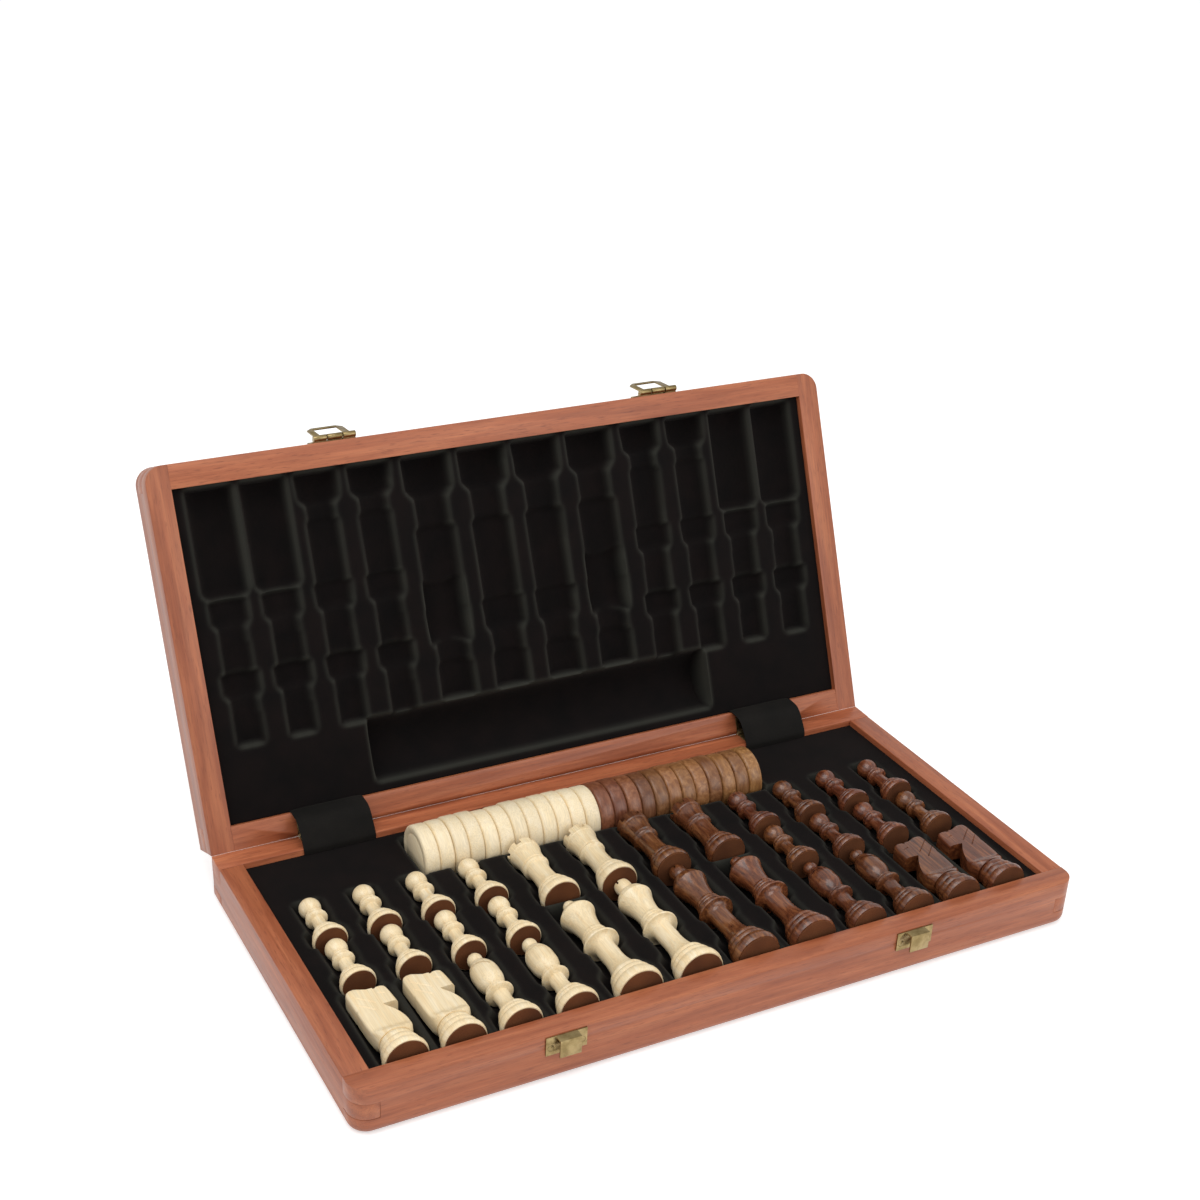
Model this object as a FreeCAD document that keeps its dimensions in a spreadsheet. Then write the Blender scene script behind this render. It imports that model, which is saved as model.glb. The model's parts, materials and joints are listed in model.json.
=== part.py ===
# Folding wooden chess case: two shallow halves hinged together, whose outer faces make the board,
# with a fitted tray in each half that holds 32 chessmen and 24 draughtsmen lying on their sides.
# Frame: X along the case, Y from the latch side to the hinge side, Z up; millimetres.
# Origin: centre of the base half's flat board face, which the case stands on.
import FreeCAD, Part
import math
import os
import re

import Sketcher
from FreeCAD import Placement, Rotation, Vector

SIZES = {
    # the two halves of the case
    "case_length": 380.0,
    "half_depth": 190.0,
    "half_height": 25.1,
    "rail_thick": 12.0,
    "lip_width": 5.0,
    "edge_round": 4.5,
    "corner_round": 9.0,
    "panel_thick": 4.0,
    "veneer_thick": 0.6,
    "rim_gap": 0.2,
    "hinge_gap": 0.2,
    "lid_open_angle": 112.67,
    # the board on the outer faces
    "square_size": 40.0,
    "stringing_width": 3.0,
    # butt hinges in the rims and the straps that cover them
    "hinge_centre": 128.0,
    "hinge_length": 34.0,
    "leaf_width": 9.0,
    "leaf_thick": 1.0,
    "barrel_radius": 1.8,
    "pin_radius": 0.8,
    "pin_clearance": 0.05,
    "knuckle_gap": 0.3,
    "strap_width": 38.0,
    "strap_thick": 0.9,
    "strap_gap": 0.2,
    # latches
    "latch_centre": 92.0,
    "catch_width": 20.0,
    "catch_height": 9.6,
    "catch_drop": 0.6,
    "catch_screw_height": 18.7,
    "hasp_screw_height": 15.0,
    "sheet_thick": 0.8,
    "tab_width": 10.4,
    "tab_reach": 5.0,
    "hasp_width": 19.0,
    "hasp_reach": 16.7,
    "hasp_chamfer": 3.0,
    "hasp_shoulder": 2.1,
    "window_width": 12.4,
    "window_near": 3.6,
    "hasp_end_bar": 2.2,
    "hasp_pin_out": 2.2,
    "hasp_pin_rise": 3.6,
    "hasp_knuckle_radius": 1.5,
    "hasp_pin_radius": 0.6,
    "hasp_plate_width": 22.0,
    "hasp_plate_rise": 9.0,
    "hasp_open_angle": 162.0,
    # screws
    "screw_head_radius": 1.5,
    "screw_shank_radius": 0.8,
    "screw_length": 6.0,
    "screw_head_thick": 0.5,
    # formed trays
    "tray_surface": 22.0,
    "tray_side_gap": 0.2,
    "piece_clearance": 1.0,
    "end_clearance": 0.5,
    "finger_pocket_radius": 15.0,
    "finger_pocket_depth": 12.0,
    # rows in which the pieces lie
    "axis_height": 21.3,
    "front_row_gap": 2.5,
    "middle_row_gap": 0.7,
    "back_row_gap": 0.6,
    "rook_row_gap": 0.5,
    "king_column": 15.3,
    "queen_column": 46.6,
    "inner_bishop_column": 77.4,
    "outer_bishop_column": 105.2,
    "inner_knight_column": 132.5,
    "outer_knight_column": 159.6,
    # draughtsmen on edge
    "disc_radius": 15.25,
    "disc_thick": 8.0,
    "disc_gap": 0.08,
    "disc_round": 0.8,
    "disc_row_gap": 0.95,
    "disc_axis_height": 21.7,
    "discs_per_side": 12.0,
    # chessmen
    "felt_thick": 0.6,
    "felt_inset": 0.6,
    "pawn_height": 34.6,
    "pawn_base_radius": 8.7,
    "pawn_foot": 4.0,
    "pawn_shoulder_radius": 6.6,
    "pawn_shoulder_height": 10.0,
    "pawn_neck_radius": 3.6,
    "pawn_collar_radius": 6.2,
    "pawn_collar_height": 20.5,
    "pawn_collar_thick": 3.0,
    "pawn_ball_radius": 5.4,
    "rook_height": 45.2,
    "rook_base_radius": 10.4,
    "rook_foot": 5.0,
    "rook_shoulder_radius": 8.0,
    "rook_shoulder_height": 14.0,
    "rook_waist_radius": 6.1,
    "rook_waist_height": 26.0,
    "rook_ring_radius": 7.5,
    "rook_ring_height": 29.0,
    "rook_top_radius": 8.9,
    "rook_well_radius": 6.2,
    "rook_well_depth": 4.0,
    "rook_notch_width": 3.0,
    "bishop_height": 55.0,
    "bishop_base_radius": 10.2,
    "bishop_foot": 5.0,
    "bishop_shoulder_radius": 7.6,
    "bishop_shoulder_height": 13.0,
    "bishop_neck_radius": 4.1,
    "bishop_collar_radius": 7.4,
    "bishop_collar_height": 24.8,
    "bishop_collar_thick": 3.2,
    "bishop_head_radius": 7.2,
    "bishop_head_height": 43.0,
    "bishop_tip_radius": 2.8,
    "queen_height": 74.5,
    "queen_crown_radius": 9.3,
    "queen_crown_height": 63.5,
    "queen_tip_radius": 3.3,
    "king_height": 78.0,
    "king_crown_radius": 9.3,
    "king_crown_height": 63.7,
    "king_tip_radius": 4.4,
    "king_tip_height": 6.0,
    "king_notch": 1.2,
    "royal_base_radius": 12.0,
    "royal_foot": 6.0,
    "royal_shoulder_radius": 9.4,
    "royal_shoulder_height": 17.0,
    "royal_neck_radius": 5.2,
    "royal_collar_radius": 9.3,
    "royal_collar_height": 37.0,
    "royal_collar_thick": 3.2,
    "royal_ring_radius": 7.4,
    "royal_ring_height": 44.0,
    "royal_waist_radius": 6.4,
    "royal_waist_height": 50.0,
    "knight_height": 49.5,
    "knight_base_radius": 10.7,
    "knight_foot": 5.0,
    "knight_neck_radius": 8.6,
    "knight_neck_height": 14.0,
    "knight_slab_thick": 9.0,
    "knight_head_reach": 10.2,
}

# places that follow from the sizes of what lies there and a gap
TIED_SIZES = {
    "window_far": "=hasp_reach - hasp_end_bar",
    "row_front": "=rail_thick - half_depth / 2 + front_row_gap",
    "row_middle": "=row_front + max(bishop_height; knight_height) + middle_row_gap",
    "row_back": "=row_middle + pawn_height + back_row_gap",
    "row_rooks": "=row_front + max(king_height; queen_height) + rook_row_gap",
    "disc_pitch": "=disc_thick + disc_gap",
    "disc_row_front": "=max(row_rooks + rook_height; row_back + pawn_height)",
    "disc_row_back": "=disc_row_front + disc_row_gap + disc_radius",
}

doc = FreeCAD.newDocument("chess_case")
sheet = doc.addObject("Spreadsheet::Sheet", "Sizes")
for row, (alias, size) in enumerate((SIZES | TIED_SIZES).items(), start=1):
    sheet.set(f"A{row}", alias)
    sheet.set(f"B{row}", str(size))
    sheet.setAlias(f"B{row}", alias)
doc.recompute()

exports = {}


def bound(expression):
    """An expression in plain aliases, written with the sheet's name before each."""
    return re.sub(r"[a-z][a-z_]*(?![a-z_(])", lambda word: "Sizes." + word.group(0), expression)


def val(expression):
    """The present number of an expression in aliases."""
    return float(sheet.evalExpression(bound(expression)))


def bind(thing, **properties):
    """Bind properties of an object to expressions in aliases."""
    for name, expression in properties.items():
        path = name.replace("__", ".")
        thing.setExpression(path, bound(expression))
    return thing


def box(label, x, y, z, length, width, height):
    """A Part box whose corner and sizes are expressions."""
    thing = doc.addObject("Part::Box", label)
    bind(thing, Length=length, Width=width, Height=height)
    bind(thing, Placement__Base__x=x, Placement__Base__y=y, Placement__Base__z=z)
    return thing


def rod(label, x, y, z, radius, length, axis="Z"):
    """A Part cylinder from a point, along one axis of the frame."""
    turn = {
        "X": Rotation(Vector(0, 1, 0), 90),
        "Y": Rotation(Vector(1, 0, 0), -90),
        "Z": Rotation(),
    }[axis]
    thing = doc.addObject("Part::Cylinder", label)
    thing.Placement = Placement(Vector(), turn)
    bind(thing, Radius=radius, Height=length)
    bind(thing, Placement__Base__x=x, Placement__Base__y=y, Placement__Base__z=z)
    return thing


def cut(label, base, tool):
    thing = doc.addObject("Part::Cut", label)
    thing.Base = base
    thing.Tool = tool
    return thing


def common(label, base, tool):
    thing = doc.addObject("Part::Common", label)
    thing.Base = base
    thing.Tool = tool
    return thing


def fuse(label, shapes):
    thing = doc.addObject("Part::MultiFuse", label)
    thing.Shapes = shapes
    return thing


def group(label, members):
    """Several separate solids as one compound."""
    thing = doc.addObject("Part::Compound", label)
    thing.Links = members
    return thing


def body_plane(body, role):
    return next(f for f in body.Origin.OriginFeatures if f.Role == role)


def new_sketch(body, name, role="XY_Plane"):
    sketch = body.newObject("Sketcher::SketchObject", name)
    sketch.AttachmentSupport = [(body_plane(body, role), "")]
    sketch.MapMode = "FlatFace"
    return sketch


def place_point(sketch, geometry, end, across, along):
    """Fix one end of a piece of geometry by two expressions in the sketch's own axes."""
    for kind, expression in (("DistanceX", across), ("DistanceY", along)):
        if expression == "0":
            axis = -2 if kind == "DistanceX" else -1
            sketch.addConstraint(Sketcher.Constraint("PointOnObject", geometry, end, axis))
        elif val(expression) < 0:
            ends = (geometry, end, -1, 1)
            index = sketch.addConstraint(Sketcher.Constraint(kind, *ends, -val(expression)))
            sketch.setExpression(f"Constraints[{index}]", bound(f"-({expression})"))
        else:
            index = sketch.addConstraint(Sketcher.Constraint(kind, -1, 1, geometry, end, val(expression)))
            sketch.setExpression(f"Constraints[{index}]", bound(expression))


def outline(sketch, points):
    """A closed outline of straight lines through points given as pairs of expressions."""
    corners = [Vector(val(across), val(along), 0) for across, along in points]
    lines = [
        sketch.addGeometry(Part.LineSegment(corners[i], corners[(i + 1) % len(corners)]), False)
        for i in range(len(corners))
    ]
    for i, line in enumerate(lines):
        after = lines[(i + 1) % len(lines)]
        sketch.addConstraint(Sketcher.Constraint("Coincident", line, 2, after, 1))
        place_point(sketch, line, 1, *points[i])
    return lines


def turned(name, points, ball=None):
    """A body turned about its own Z axis from a half outline; ball is (centre, radius) on top."""
    body = doc.addObject("PartDesign::Body", name)
    sketch = new_sketch(body, name + "_outline", "XZ_Plane")
    if ball is None:
        outline(sketch, points)
    else:
        centre, radius = (val(e) for e in ball)
        foot = Vector(val(points[-1][0]), 0, 0)
        foot.y = centre - math.sqrt(radius**2 - foot.x**2)
        start = math.atan2(foot.y - centre, foot.x)
        arc = Part.ArcOfCircle(Part.Circle(Vector(0, centre, 0), Vector(0, 0, 1), radius), start, math.pi / 2)
        corners = [Vector(val(a), val(b), 0) for a, b in points[:-1]] + [foot]
        lines = [
            sketch.addGeometry(Part.LineSegment(a, b), False)
            for a, b in zip(corners, corners[1:])
        ]
        cap = sketch.addGeometry(arc, False)
        axis = sketch.addGeometry(Part.LineSegment(Vector(0, centre + radius, 0), corners[0]), False)
        for one, other in zip(lines, lines[1:]):
            sketch.addConstraint(Sketcher.Constraint("Coincident", one, 2, other, 1))
        sketch.addConstraint(Sketcher.Constraint("Coincident", lines[-1], 2, cap, 1))
        sketch.addConstraint(Sketcher.Constraint("Coincident", cap, 2, axis, 1))
        sketch.addConstraint(Sketcher.Constraint("Coincident", axis, 2, lines[0], 1))
        for line, point in zip(lines, points):
            place_point(sketch, line, 1, *point)
        across = sketch.addConstraint(Sketcher.Constraint("DistanceX", -1, 1, cap, 1, foot.x))
        sketch.setExpression(f"Constraints[{across}]", bound(points[-1][0]))
        sketch.addConstraint(Sketcher.Constraint("PointOnObject", cap, 3, -2))
        sketch.addConstraint(Sketcher.Constraint("PointOnObject", cap, 2, -2))
        size = sketch.addConstraint(Sketcher.Constraint("Radius", cap, radius))
        sketch.setExpression(f"Constraints[{size}]", bound(ball[1]))
        rise = sketch.addConstraint(Sketcher.Constraint("DistanceY", -1, 1, cap, 3, centre))
        sketch.setExpression(f"Constraints[{rise}]", bound(ball[0]))
    turning = body.newObject("PartDesign::Revolution", name + "_turning")
    turning.Profile = sketch
    turning.ReferenceAxis = (sketch, ["V_Axis"])
    turning.Angle = 360.0
    return body


# ---------------------------------------------------------------- the case halves

HALF_LENGTH = "case_length / 2"
HALF_DEPTH = "half_depth / 2"
SEAT = "panel_thick + veneer_thick"

envelope = doc.addObject("PartDesign::Body", "half_envelope")
envelope_sketch = new_sketch(envelope, "half_envelope_outline")
half_x = val(HALF_LENGTH)
half_y = val(HALF_DEPTH)
outline(
    envelope_sketch,
    [
        ("-" + HALF_LENGTH, "-" + HALF_DEPTH),
        (HALF_LENGTH, "-" + HALF_DEPTH),
        (HALF_LENGTH, HALF_DEPTH),
        ("-" + HALF_LENGTH, HALF_DEPTH),
    ],
)
envelope_pad = envelope.newObject("PartDesign::Pad", "half_envelope_pad")
envelope_pad.Profile = envelope_sketch
bind(envelope_pad, Length="half_height")
doc.recompute()


def edges_where(shape, test):
    """Names of the edges whose midpoint and direction pass a test."""
    names = []
    for index, edge in enumerate(shape.Edges, start=1):
        middle = edge.valueAt((edge.FirstParameter + edge.LastParameter) / 2)
        if test(middle, edge):
            names.append(f"Edge{index}")
    return names


corner_fillet = envelope.newObject("PartDesign::Fillet", "half_envelope_corners")
corner_fillet.Base = (
    envelope_pad,
    edges_where(
        envelope_pad.Shape,
        lambda m, e: abs(abs(m.x) - half_x) < 0.01 and abs(m.y + half_y) < 0.01 and m.z > 1,
    ),
)
bind(corner_fillet, Radius="corner_round")
doc.recompute()
edge_fillet = envelope.newObject("PartDesign::Fillet", "half_envelope_edge")
edge_fillet.Base = (
    corner_fillet,
    edges_where(corner_fillet.Shape, lambda m, e: abs(m.z) < 0.01 and m.y < half_y - 0.01),
)
bind(edge_fillet, Radius="edge_round")
doc.recompute()


def seat_box(label):
    """The recess that takes the panel and the veneer, open at the hinge side."""
    return box(
        label,
        f"-{HALF_LENGTH} + lip_width",
        f"-{HALF_DEPTH} + lip_width",
        "0",
        "case_length - 2 * lip_width",
        "half_depth - lip_width + 1",
        SEAT,
    )


def finger_boxes(label, levels, which):
    """The corner blocks of a half at the given finger levels, at its front or back corners."""
    blocks = []
    y = f"-{HALF_DEPTH}" if which == "front" else f"{HALF_DEPTH} - rail_thick"
    for side in ("left", "right"):
        x = f"-{HALF_LENGTH}" if side == "left" else f"{HALF_LENGTH} - rail_thick"
        for level in levels:
            name = f"{label}_{which}_{side}_{level}"
            blocks.append(
                box(name, x, y, f"half_height * {level} / 3", "rail_thick", "rail_thick", "half_height / 3")
            )
    return blocks


def barrel_clearance(label):
    """Rods that free the rims of the hinge barrels."""
    rods = []
    for side, sign in (("left", "-"), ("right", "")):
        rods.append(
            rod(
                f"{label}_{side}",
                f"{sign}hinge_centre - hinge_length / 2 - knuckle_gap",
                f"{HALF_DEPTH} + hinge_gap",
                "half_height + rim_gap",
                "barrel_radius + knuckle_gap",
                "hinge_length + 2 * knuckle_gap",
                "X",
            )
        )
    return rods


def leaf_mortises(label):
    """Shallow recesses in the rim for the hinge leaves."""
    return [
        box(
            f"{label}_{side}",
            f"{sign}hinge_centre - hinge_length / 2",
            f"{HALF_DEPTH} - leaf_width",
            "half_height - leaf_thick",
            "hinge_length",
            "leaf_width + 1",
            "leaf_thick + 1",
        )
        for side, sign in (("left", "-"), ("right", ""))
    ]


LEAF_SCREWS = [
    (f"{sign}hinge_centre + {step} * hinge_length / 3", f"{HALF_DEPTH} - leaf_width * 0.55")
    for sign in ("-", "")
    for step in (-1, 1)
]


def leaf_screw_rods(label, radius, bottom, length):
    return [
        rod(f"{label}_{i}", x, y, bottom, radius, length)
        for i, (x, y) in enumerate(LEAF_SCREWS)
    ]


def wall_screw_rods(label, height, radius, start, length):
    """Rods into the front wall at the latch screws, two beside each latch centre."""
    rods = []
    for side, sign in (("left", "-"), ("right", "")):
        for step in ("-", "+"):
            x = f"{sign}latch_centre {step} catch_width * 0.38"
            rods.append(rod(f"{label}_{side}_{'ab'[step == '+']}", x, start, height, radius, length, "Y"))
    return rods


def half_parts(half, long_levels, side_levels, screw_height):
    """The wooden parts of one half, as objects in the half's own frame."""
    parts = {}
    front = box(
        f"{half}_front_bar", f"-{HALF_LENGTH}", f"-{HALF_DEPTH}", "0", "case_length", "rail_thick", "half_height"
    )
    pilots = wall_screw_rods(
        f"{half}_latch_pilot", screw_height, "screw_shank_radius", f"-{HALF_DEPTH} - 1", "screw_length + 1"
    )
    tools = [seat_box(f"{half}_front_seat"), *finger_boxes(f"{half}_front_slot", side_levels, "front"), *pilots]
    parts["front_rail"] = cut(f"{half}_front_cut", front, fuse(f"{half}_front_tools", tools))
    back = box(
        f"{half}_back_bar",
        f"-{HALF_LENGTH}",
        f"{HALF_DEPTH} - rail_thick",
        "0",
        "case_length",
        "rail_thick",
        "half_height",
    )
    tools = [
        seat_box(f"{half}_back_seat"),
        *finger_boxes(f"{half}_back_slot", side_levels, "back"),
        *leaf_mortises(f"{half}_mortise"),
        *barrel_clearance(f"{half}_barrel_way"),
        *leaf_screw_rods(
            f"{half}_leaf_pilot",
            "screw_shank_radius",
            "half_height - leaf_thick - screw_length",
            "screw_length + leaf_thick",
        ),
    ]
    parts["back_rail"] = cut(f"{half}_back_cut", back, fuse(f"{half}_back_tools", tools))
    for side, x in (("left", f"-{HALF_LENGTH}"), ("right", f"{HALF_LENGTH} - rail_thick")):
        bar = box(f"{half}_{side}_bar", x, f"-{HALF_DEPTH}", "0", "rail_thick", "half_depth", "half_height")
        tools = [
            seat_box(f"{half}_{side}_seat"),
            *finger_boxes(f"{half}_{side}_slot", long_levels, "front"),
            *finger_boxes(f"{half}_{side}_slot", long_levels, "back"),
        ]
        parts[f"{side}_rail"] = cut(f"{half}_{side}_cut", bar, fuse(f"{half}_{side}_tools", tools))
    rails = {
        name: common(f"{half}_{name}_shape", shape, envelope) for name, shape in parts.items()
    }
    panel_corner = seat_panel(f"{half}_panel_body", "veneer_thick", "panel_thick")
    rails["panel"] = panel_corner
    return rails


def seat_panel(name, bottom, thick):
    """A flat sheet that fills the recess, with its two latch-side corners rounded."""
    body = doc.addObject("PartDesign::Body", name)
    sketch = new_sketch(body, name + "_outline")
    sketch.setExpression("AttachmentOffset.Base.z", bound(bottom))
    outline(
        sketch,
        [
            (f"-{HALF_LENGTH} + lip_width", f"-{HALF_DEPTH} + lip_width"),
            (f"{HALF_LENGTH} - lip_width", f"-{HALF_DEPTH} + lip_width"),
            (f"{HALF_LENGTH} - lip_width", HALF_DEPTH),
            (f"-{HALF_LENGTH} + lip_width", HALF_DEPTH),
        ],
    )
    pad = body.newObject("PartDesign::Pad", name + "_pad")
    pad.Profile = sketch
    bind(pad, Length=thick)
    return body


def veneers(half):
    """The board's veneer: dark squares and border strips, light squares and stringing."""
    dark, light = [], []
    edge = "4 * square_size"
    for column in range(8):
        for line in range(4):
            piece = box(
                f"{half}_square_{column}_{line}",
                f"{column - 4} * square_size",
                f"{HALF_DEPTH} - {line + 1} * square_size",
                "0",
                "square_size",
                "square_size",
                "veneer_thick",
            )
            (dark if (column + line) % 2 else light).append(piece)
    front = f"{HALF_DEPTH} - {edge}"
    light.append(
        box(
            f"{half}_stringing_front",
            f"-{edge} - stringing_width",
            f"{front} - stringing_width",
            "0",
            f"2 * {edge} + 2 * stringing_width",
            "stringing_width",
            "veneer_thick",
        )
    )
    for side, x in (("left", f"-{edge} - stringing_width"), ("right", edge)):
        light.append(
            box(f"{half}_stringing_{side}", x, front, "0", "stringing_width", edge, "veneer_thick")
        )
    border = f"{HALF_LENGTH} - lip_width - {edge} - stringing_width"
    dark.append(
        box(
            f"{half}_border_front",
            f"-{HALF_LENGTH} + lip_width",
            f"-{HALF_DEPTH} + lip_width",
            "0",
            "case_length - 2 * lip_width",
            f"{front} - stringing_width + {HALF_DEPTH} - lip_width",
            "veneer_thick",
        )
    )
    for side, x in (
        ("left", f"-{HALF_LENGTH} + lip_width"),
        ("right", f"{edge} + stringing_width"),
    ):
        dark.append(
            box(
                f"{half}_border_{side}",
                x,
                f"{front} - stringing_width",
                "0",
                border,
                f"{edge} + stringing_width",
                "veneer_thick",
            )
        )
    return dark, light


# ---------------------------------------------------------------- placing in the lid

AXIS_Y = "half_depth / 2 + hinge_gap"
AXIS_Z = "half_height + rim_gap"
SIDES = (("left", "-"), ("right", ""))


def lid_point(y, z):
    """Where a point of the closed lid, measured from the hinge axis, stands with the lid open."""
    return (
        f"{AXIS_Y} + ({y}) * cos(lid_open_angle) + ({z}) * sin(lid_open_angle)",
        f"{AXIS_Z} - ({y}) * sin(lid_open_angle) + ({z}) * cos(lid_open_angle)",
    )


def in_lid(label, members, flipped=True):
    """Members placed in the open lid; flipped ones are drawn in a half's own frame."""
    if flipped:
        turned_over = group(label + "_closed", members)
        turned_over.Placement = Placement(Vector(), Rotation(Vector(0, 1, 0), 180))
        bind(turned_over, Placement__Base__z=f"2 * ({AXIS_Z})")
        members = [turned_over]
    opened = group(label, members)
    opened.Placement = Placement(Vector(), Rotation(Vector(-1, 0, 0), 90))
    opened.setExpression("Placement.Rotation.Angle", bound("lid_open_angle"))
    y, z = lid_point(f"-({AXIS_Y})", f"-({AXIS_Z})")
    bind(opened, Placement__Base__y=y, Placement__Base__z=z)
    return opened


# ---------------------------------------------------------------- trays

COLUMNS = {
    "king": "king_column",
    "queen": "queen_column",
    "inner_bishop": "inner_bishop_column",
    "outer_bishop": "outer_bishop_column",
    "inner_knight": "inner_knight_column",
    "outer_knight": "outer_knight_column",
}
PAWN_ROWS = ("row_middle", "row_back")


def trough(label, x, start, radius, length):
    """A half-round trough along Y under one stretch of a piece."""
    return rod(
        label,
        x,
        f"{start} - end_clearance",
        "tray_surface",
        f"{radius} + piece_clearance",
        f"{length} + 2 * end_clearance",
        "Y",
    )


def piece_troughs(label, x, row, kind, wide, narrow, height, foot):
    """The wide trough of a piece's foot and the narrower one of all its length."""
    return [
        trough(f"{label}_{kind}_foot", x, row, wide, foot),
        trough(f"{label}_{kind}_length", x, row, narrow, height),
    ]


def column_troughs(label, column, x):
    """Every trough of one column, from the latch side to the hinge side."""
    if column in ("king", "queen"):
        return [
            *piece_troughs(
                label,
                x,
                "row_front",
                "royal",
                "royal_base_radius",
                "royal_collar_radius",
                f"{column}_height",
                "royal_shoulder_height + 1",
            ),
            *piece_troughs(
                label,
                x,
                "row_rooks",
                "rook",
                "rook_base_radius",
                "rook_top_radius",
                "rook_height",
                "rook_shoulder_height",
            ),
        ]
    if column.endswith("bishop"):
        rods = piece_troughs(
            label,
            x,
            "row_front",
            "bishop",
            "bishop_base_radius",
            "bishop_collar_radius",
            "bishop_height",
            "bishop_shoulder_height",
        )
    else:
        rods = [trough(f"{label}_knight", x, "row_front", "knight_base_radius", "knight_height")]
    for row in PAWN_ROWS:
        rods += piece_troughs(
            f"{label}_{row}",
            x,
            row,
            "pawn",
            "pawn_base_radius",
            "pawn_collar_radius",
            "pawn_height",
            "pawn_shoulder_height",
        )
    return rods


def tray_shape():
    """The formed tray of a half: a block with a trough under every piece."""
    rods = []
    for column, distance in COLUMNS.items():
        for side, sign in SIDES:
            rods += column_troughs(f"trough_{side}_{column}", column, f"{sign}{distance}")
    length = "2 * discs_per_side * disc_pitch"
    rods.append(
        rod(
            "disc_trough",
            f"-({length}) / 2 - end_clearance",
            "disc_row_back",
            "tray_surface",
            "disc_radius + piece_clearance",
            f"{length} + 2 * end_clearance",
            "X",
        )
    )
    inner = "rail_thick - tray_side_gap"
    block = box(
        "tray_block",
        f"-{HALF_LENGTH} + rail_thick + tray_side_gap",
        f"-{HALF_DEPTH} + rail_thick + tray_side_gap",
        SEAT,
        "case_length - 2 * (rail_thick + tray_side_gap)",
        "half_depth - 2 * (rail_thick + tray_side_gap)",
        f"tray_surface - ({SEAT})",
    )
    return cut("tray_formed", block, fuse("tray_troughs", rods))


def finger_pockets(tray):
    """The lid's tray, which also has two round pockets beside the queens."""
    pockets = []
    for side, sign in SIDES:
        ball = doc.addObject("Part::Sphere", f"finger_pocket_{side}")
        bind(ball, Radius="finger_pocket_radius")
        bind(
            ball,
            Placement__Base__x=f"{sign}queen_column",
            Placement__Base__y="row_back",
            Placement__Base__z="tray_surface + finger_pocket_radius - finger_pocket_depth",
        )
        pockets.append(ball)
    return cut("lid_tray_formed", tray, fuse("finger_pocket_tools", pockets))


# ---------------------------------------------------------------- hinges

THIRD = "hinge_length / 3"


def knuckle(label, centre, start, length, radius):
    return rod(label, f"{centre} + {start}", AXIS_Y, AXIS_Z, radius, length, "X")


def leaf_set(label, own_spans, other_spans, level):
    """Two hinge leaves with their knuckles, drawn with the leaf at a level below the axis."""
    leaves = []
    for side, sign in SIDES:
        centre = f"{sign}hinge_centre"
        name = f"{label}_{side}"
        leaf = box(
            f"{name}_plate",
            f"{centre} - hinge_length / 2",
            f"{HALF_DEPTH} - leaf_width",
            level,
            "hinge_length",
            "leaf_width + hinge_gap",
            "leaf_thick",
        )
        own = [
            knuckle(f"{name}_knuckle_{i}", centre, start, length, "barrel_radius")
            for i, (start, length) in enumerate(own_spans)
        ]
        bore = knuckle(
            f"{name}_bore",
            centre,
            "-(hinge_length / 2) - 1",
            "hinge_length + 2",
            "pin_radius + pin_clearance",
        )
        ways = [
            knuckle(
                f"{name}_way_{i}",
                centre,
                f"{start} - knuckle_gap",
                f"{length} + 2 * knuckle_gap",
                "barrel_radius + knuckle_gap",
            )
            for i, (start, length) in enumerate(other_spans)
        ]
        holes = []
        for step in ("-", "+"):
            spot = (f"{centre} {step} {THIRD}", f"{HALF_DEPTH} - leaf_width * 0.55")
            tag = "ab"[step == "+"]
            holes.append(
                rod(f"{name}_hole_{tag}", *spot, f"{level} - 1", "screw_shank_radius", "leaf_thick + 2")
            )
            holes.append(
                rod(
                    f"{name}_sink_{tag}",
                    *spot,
                    f"{level} + leaf_thick - screw_head_thick",
                    "screw_head_radius + pin_clearance",
                    "1 + screw_head_thick",
                )
            )
        solid = fuse(f"{name}_solid", [leaf, *own])
        leaves.append(cut(f"{name}_leaf", solid, fuse(f"{name}_tools", [bore, *ways, *holes])))
    return leaves


OUTER_SPANS = [
    ("-(hinge_length / 2)", f"{THIRD} - knuckle_gap / 2"),
    (f"{THIRD} / 2 + knuckle_gap / 2", f"{THIRD} - knuckle_gap / 2"),
]
MIDDLE_SPAN = [(f"-({THIRD}) / 2 + knuckle_gap / 2", f"{THIRD} - knuckle_gap")]


def hinge_pin_rods():
    return [
        knuckle(f"hinge_pin_{side}", f"{sign}hinge_centre", "-(hinge_length / 2)", "hinge_length", "pin_radius")
        for side, sign in SIDES
    ]


def strap_bodies():
    """Leather straps from the base's inner wall to the lid's, over both rims."""
    wall = f"{HALF_DEPTH} - rail_thick - strap_gap"
    reach = "-(rail_thick + hinge_gap + strap_gap)"
    tail = "half_height - tray_surface + rim_gap - strap_gap"
    straps = []
    for side, sign in SIDES:
        body = doc.addObject("PartDesign::Body", f"strap_{side}")
        sketch = new_sketch(body, f"strap_{side}_outline", "YZ_Plane")
        outline(
            sketch,
            [
                (wall, "tray_surface + strap_gap"),
                (wall, "half_height"),
                lid_point(reach, "rim_gap"),
                lid_point(reach, tail),
                lid_point(f"{reach} - strap_thick", tail),
                lid_point(f"{reach} - strap_thick", "rim_gap - strap_thick * 0.535"),
                (f"{wall} - strap_thick", "half_height + strap_thick * 0.535"),
                (f"{wall} - strap_thick", "tray_surface + strap_gap"),
            ],
        )
        pad = body.newObject("PartDesign::Pad", f"strap_{side}_pad")
        pad.Profile = sketch
        pad.Midplane = True
        bind(pad, Length="strap_width")
        bind(body, Placement__Base__x=f"{sign}hinge_centre")
        straps.append(body)
    return straps


# ---------------------------------------------------------------- latches

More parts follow.
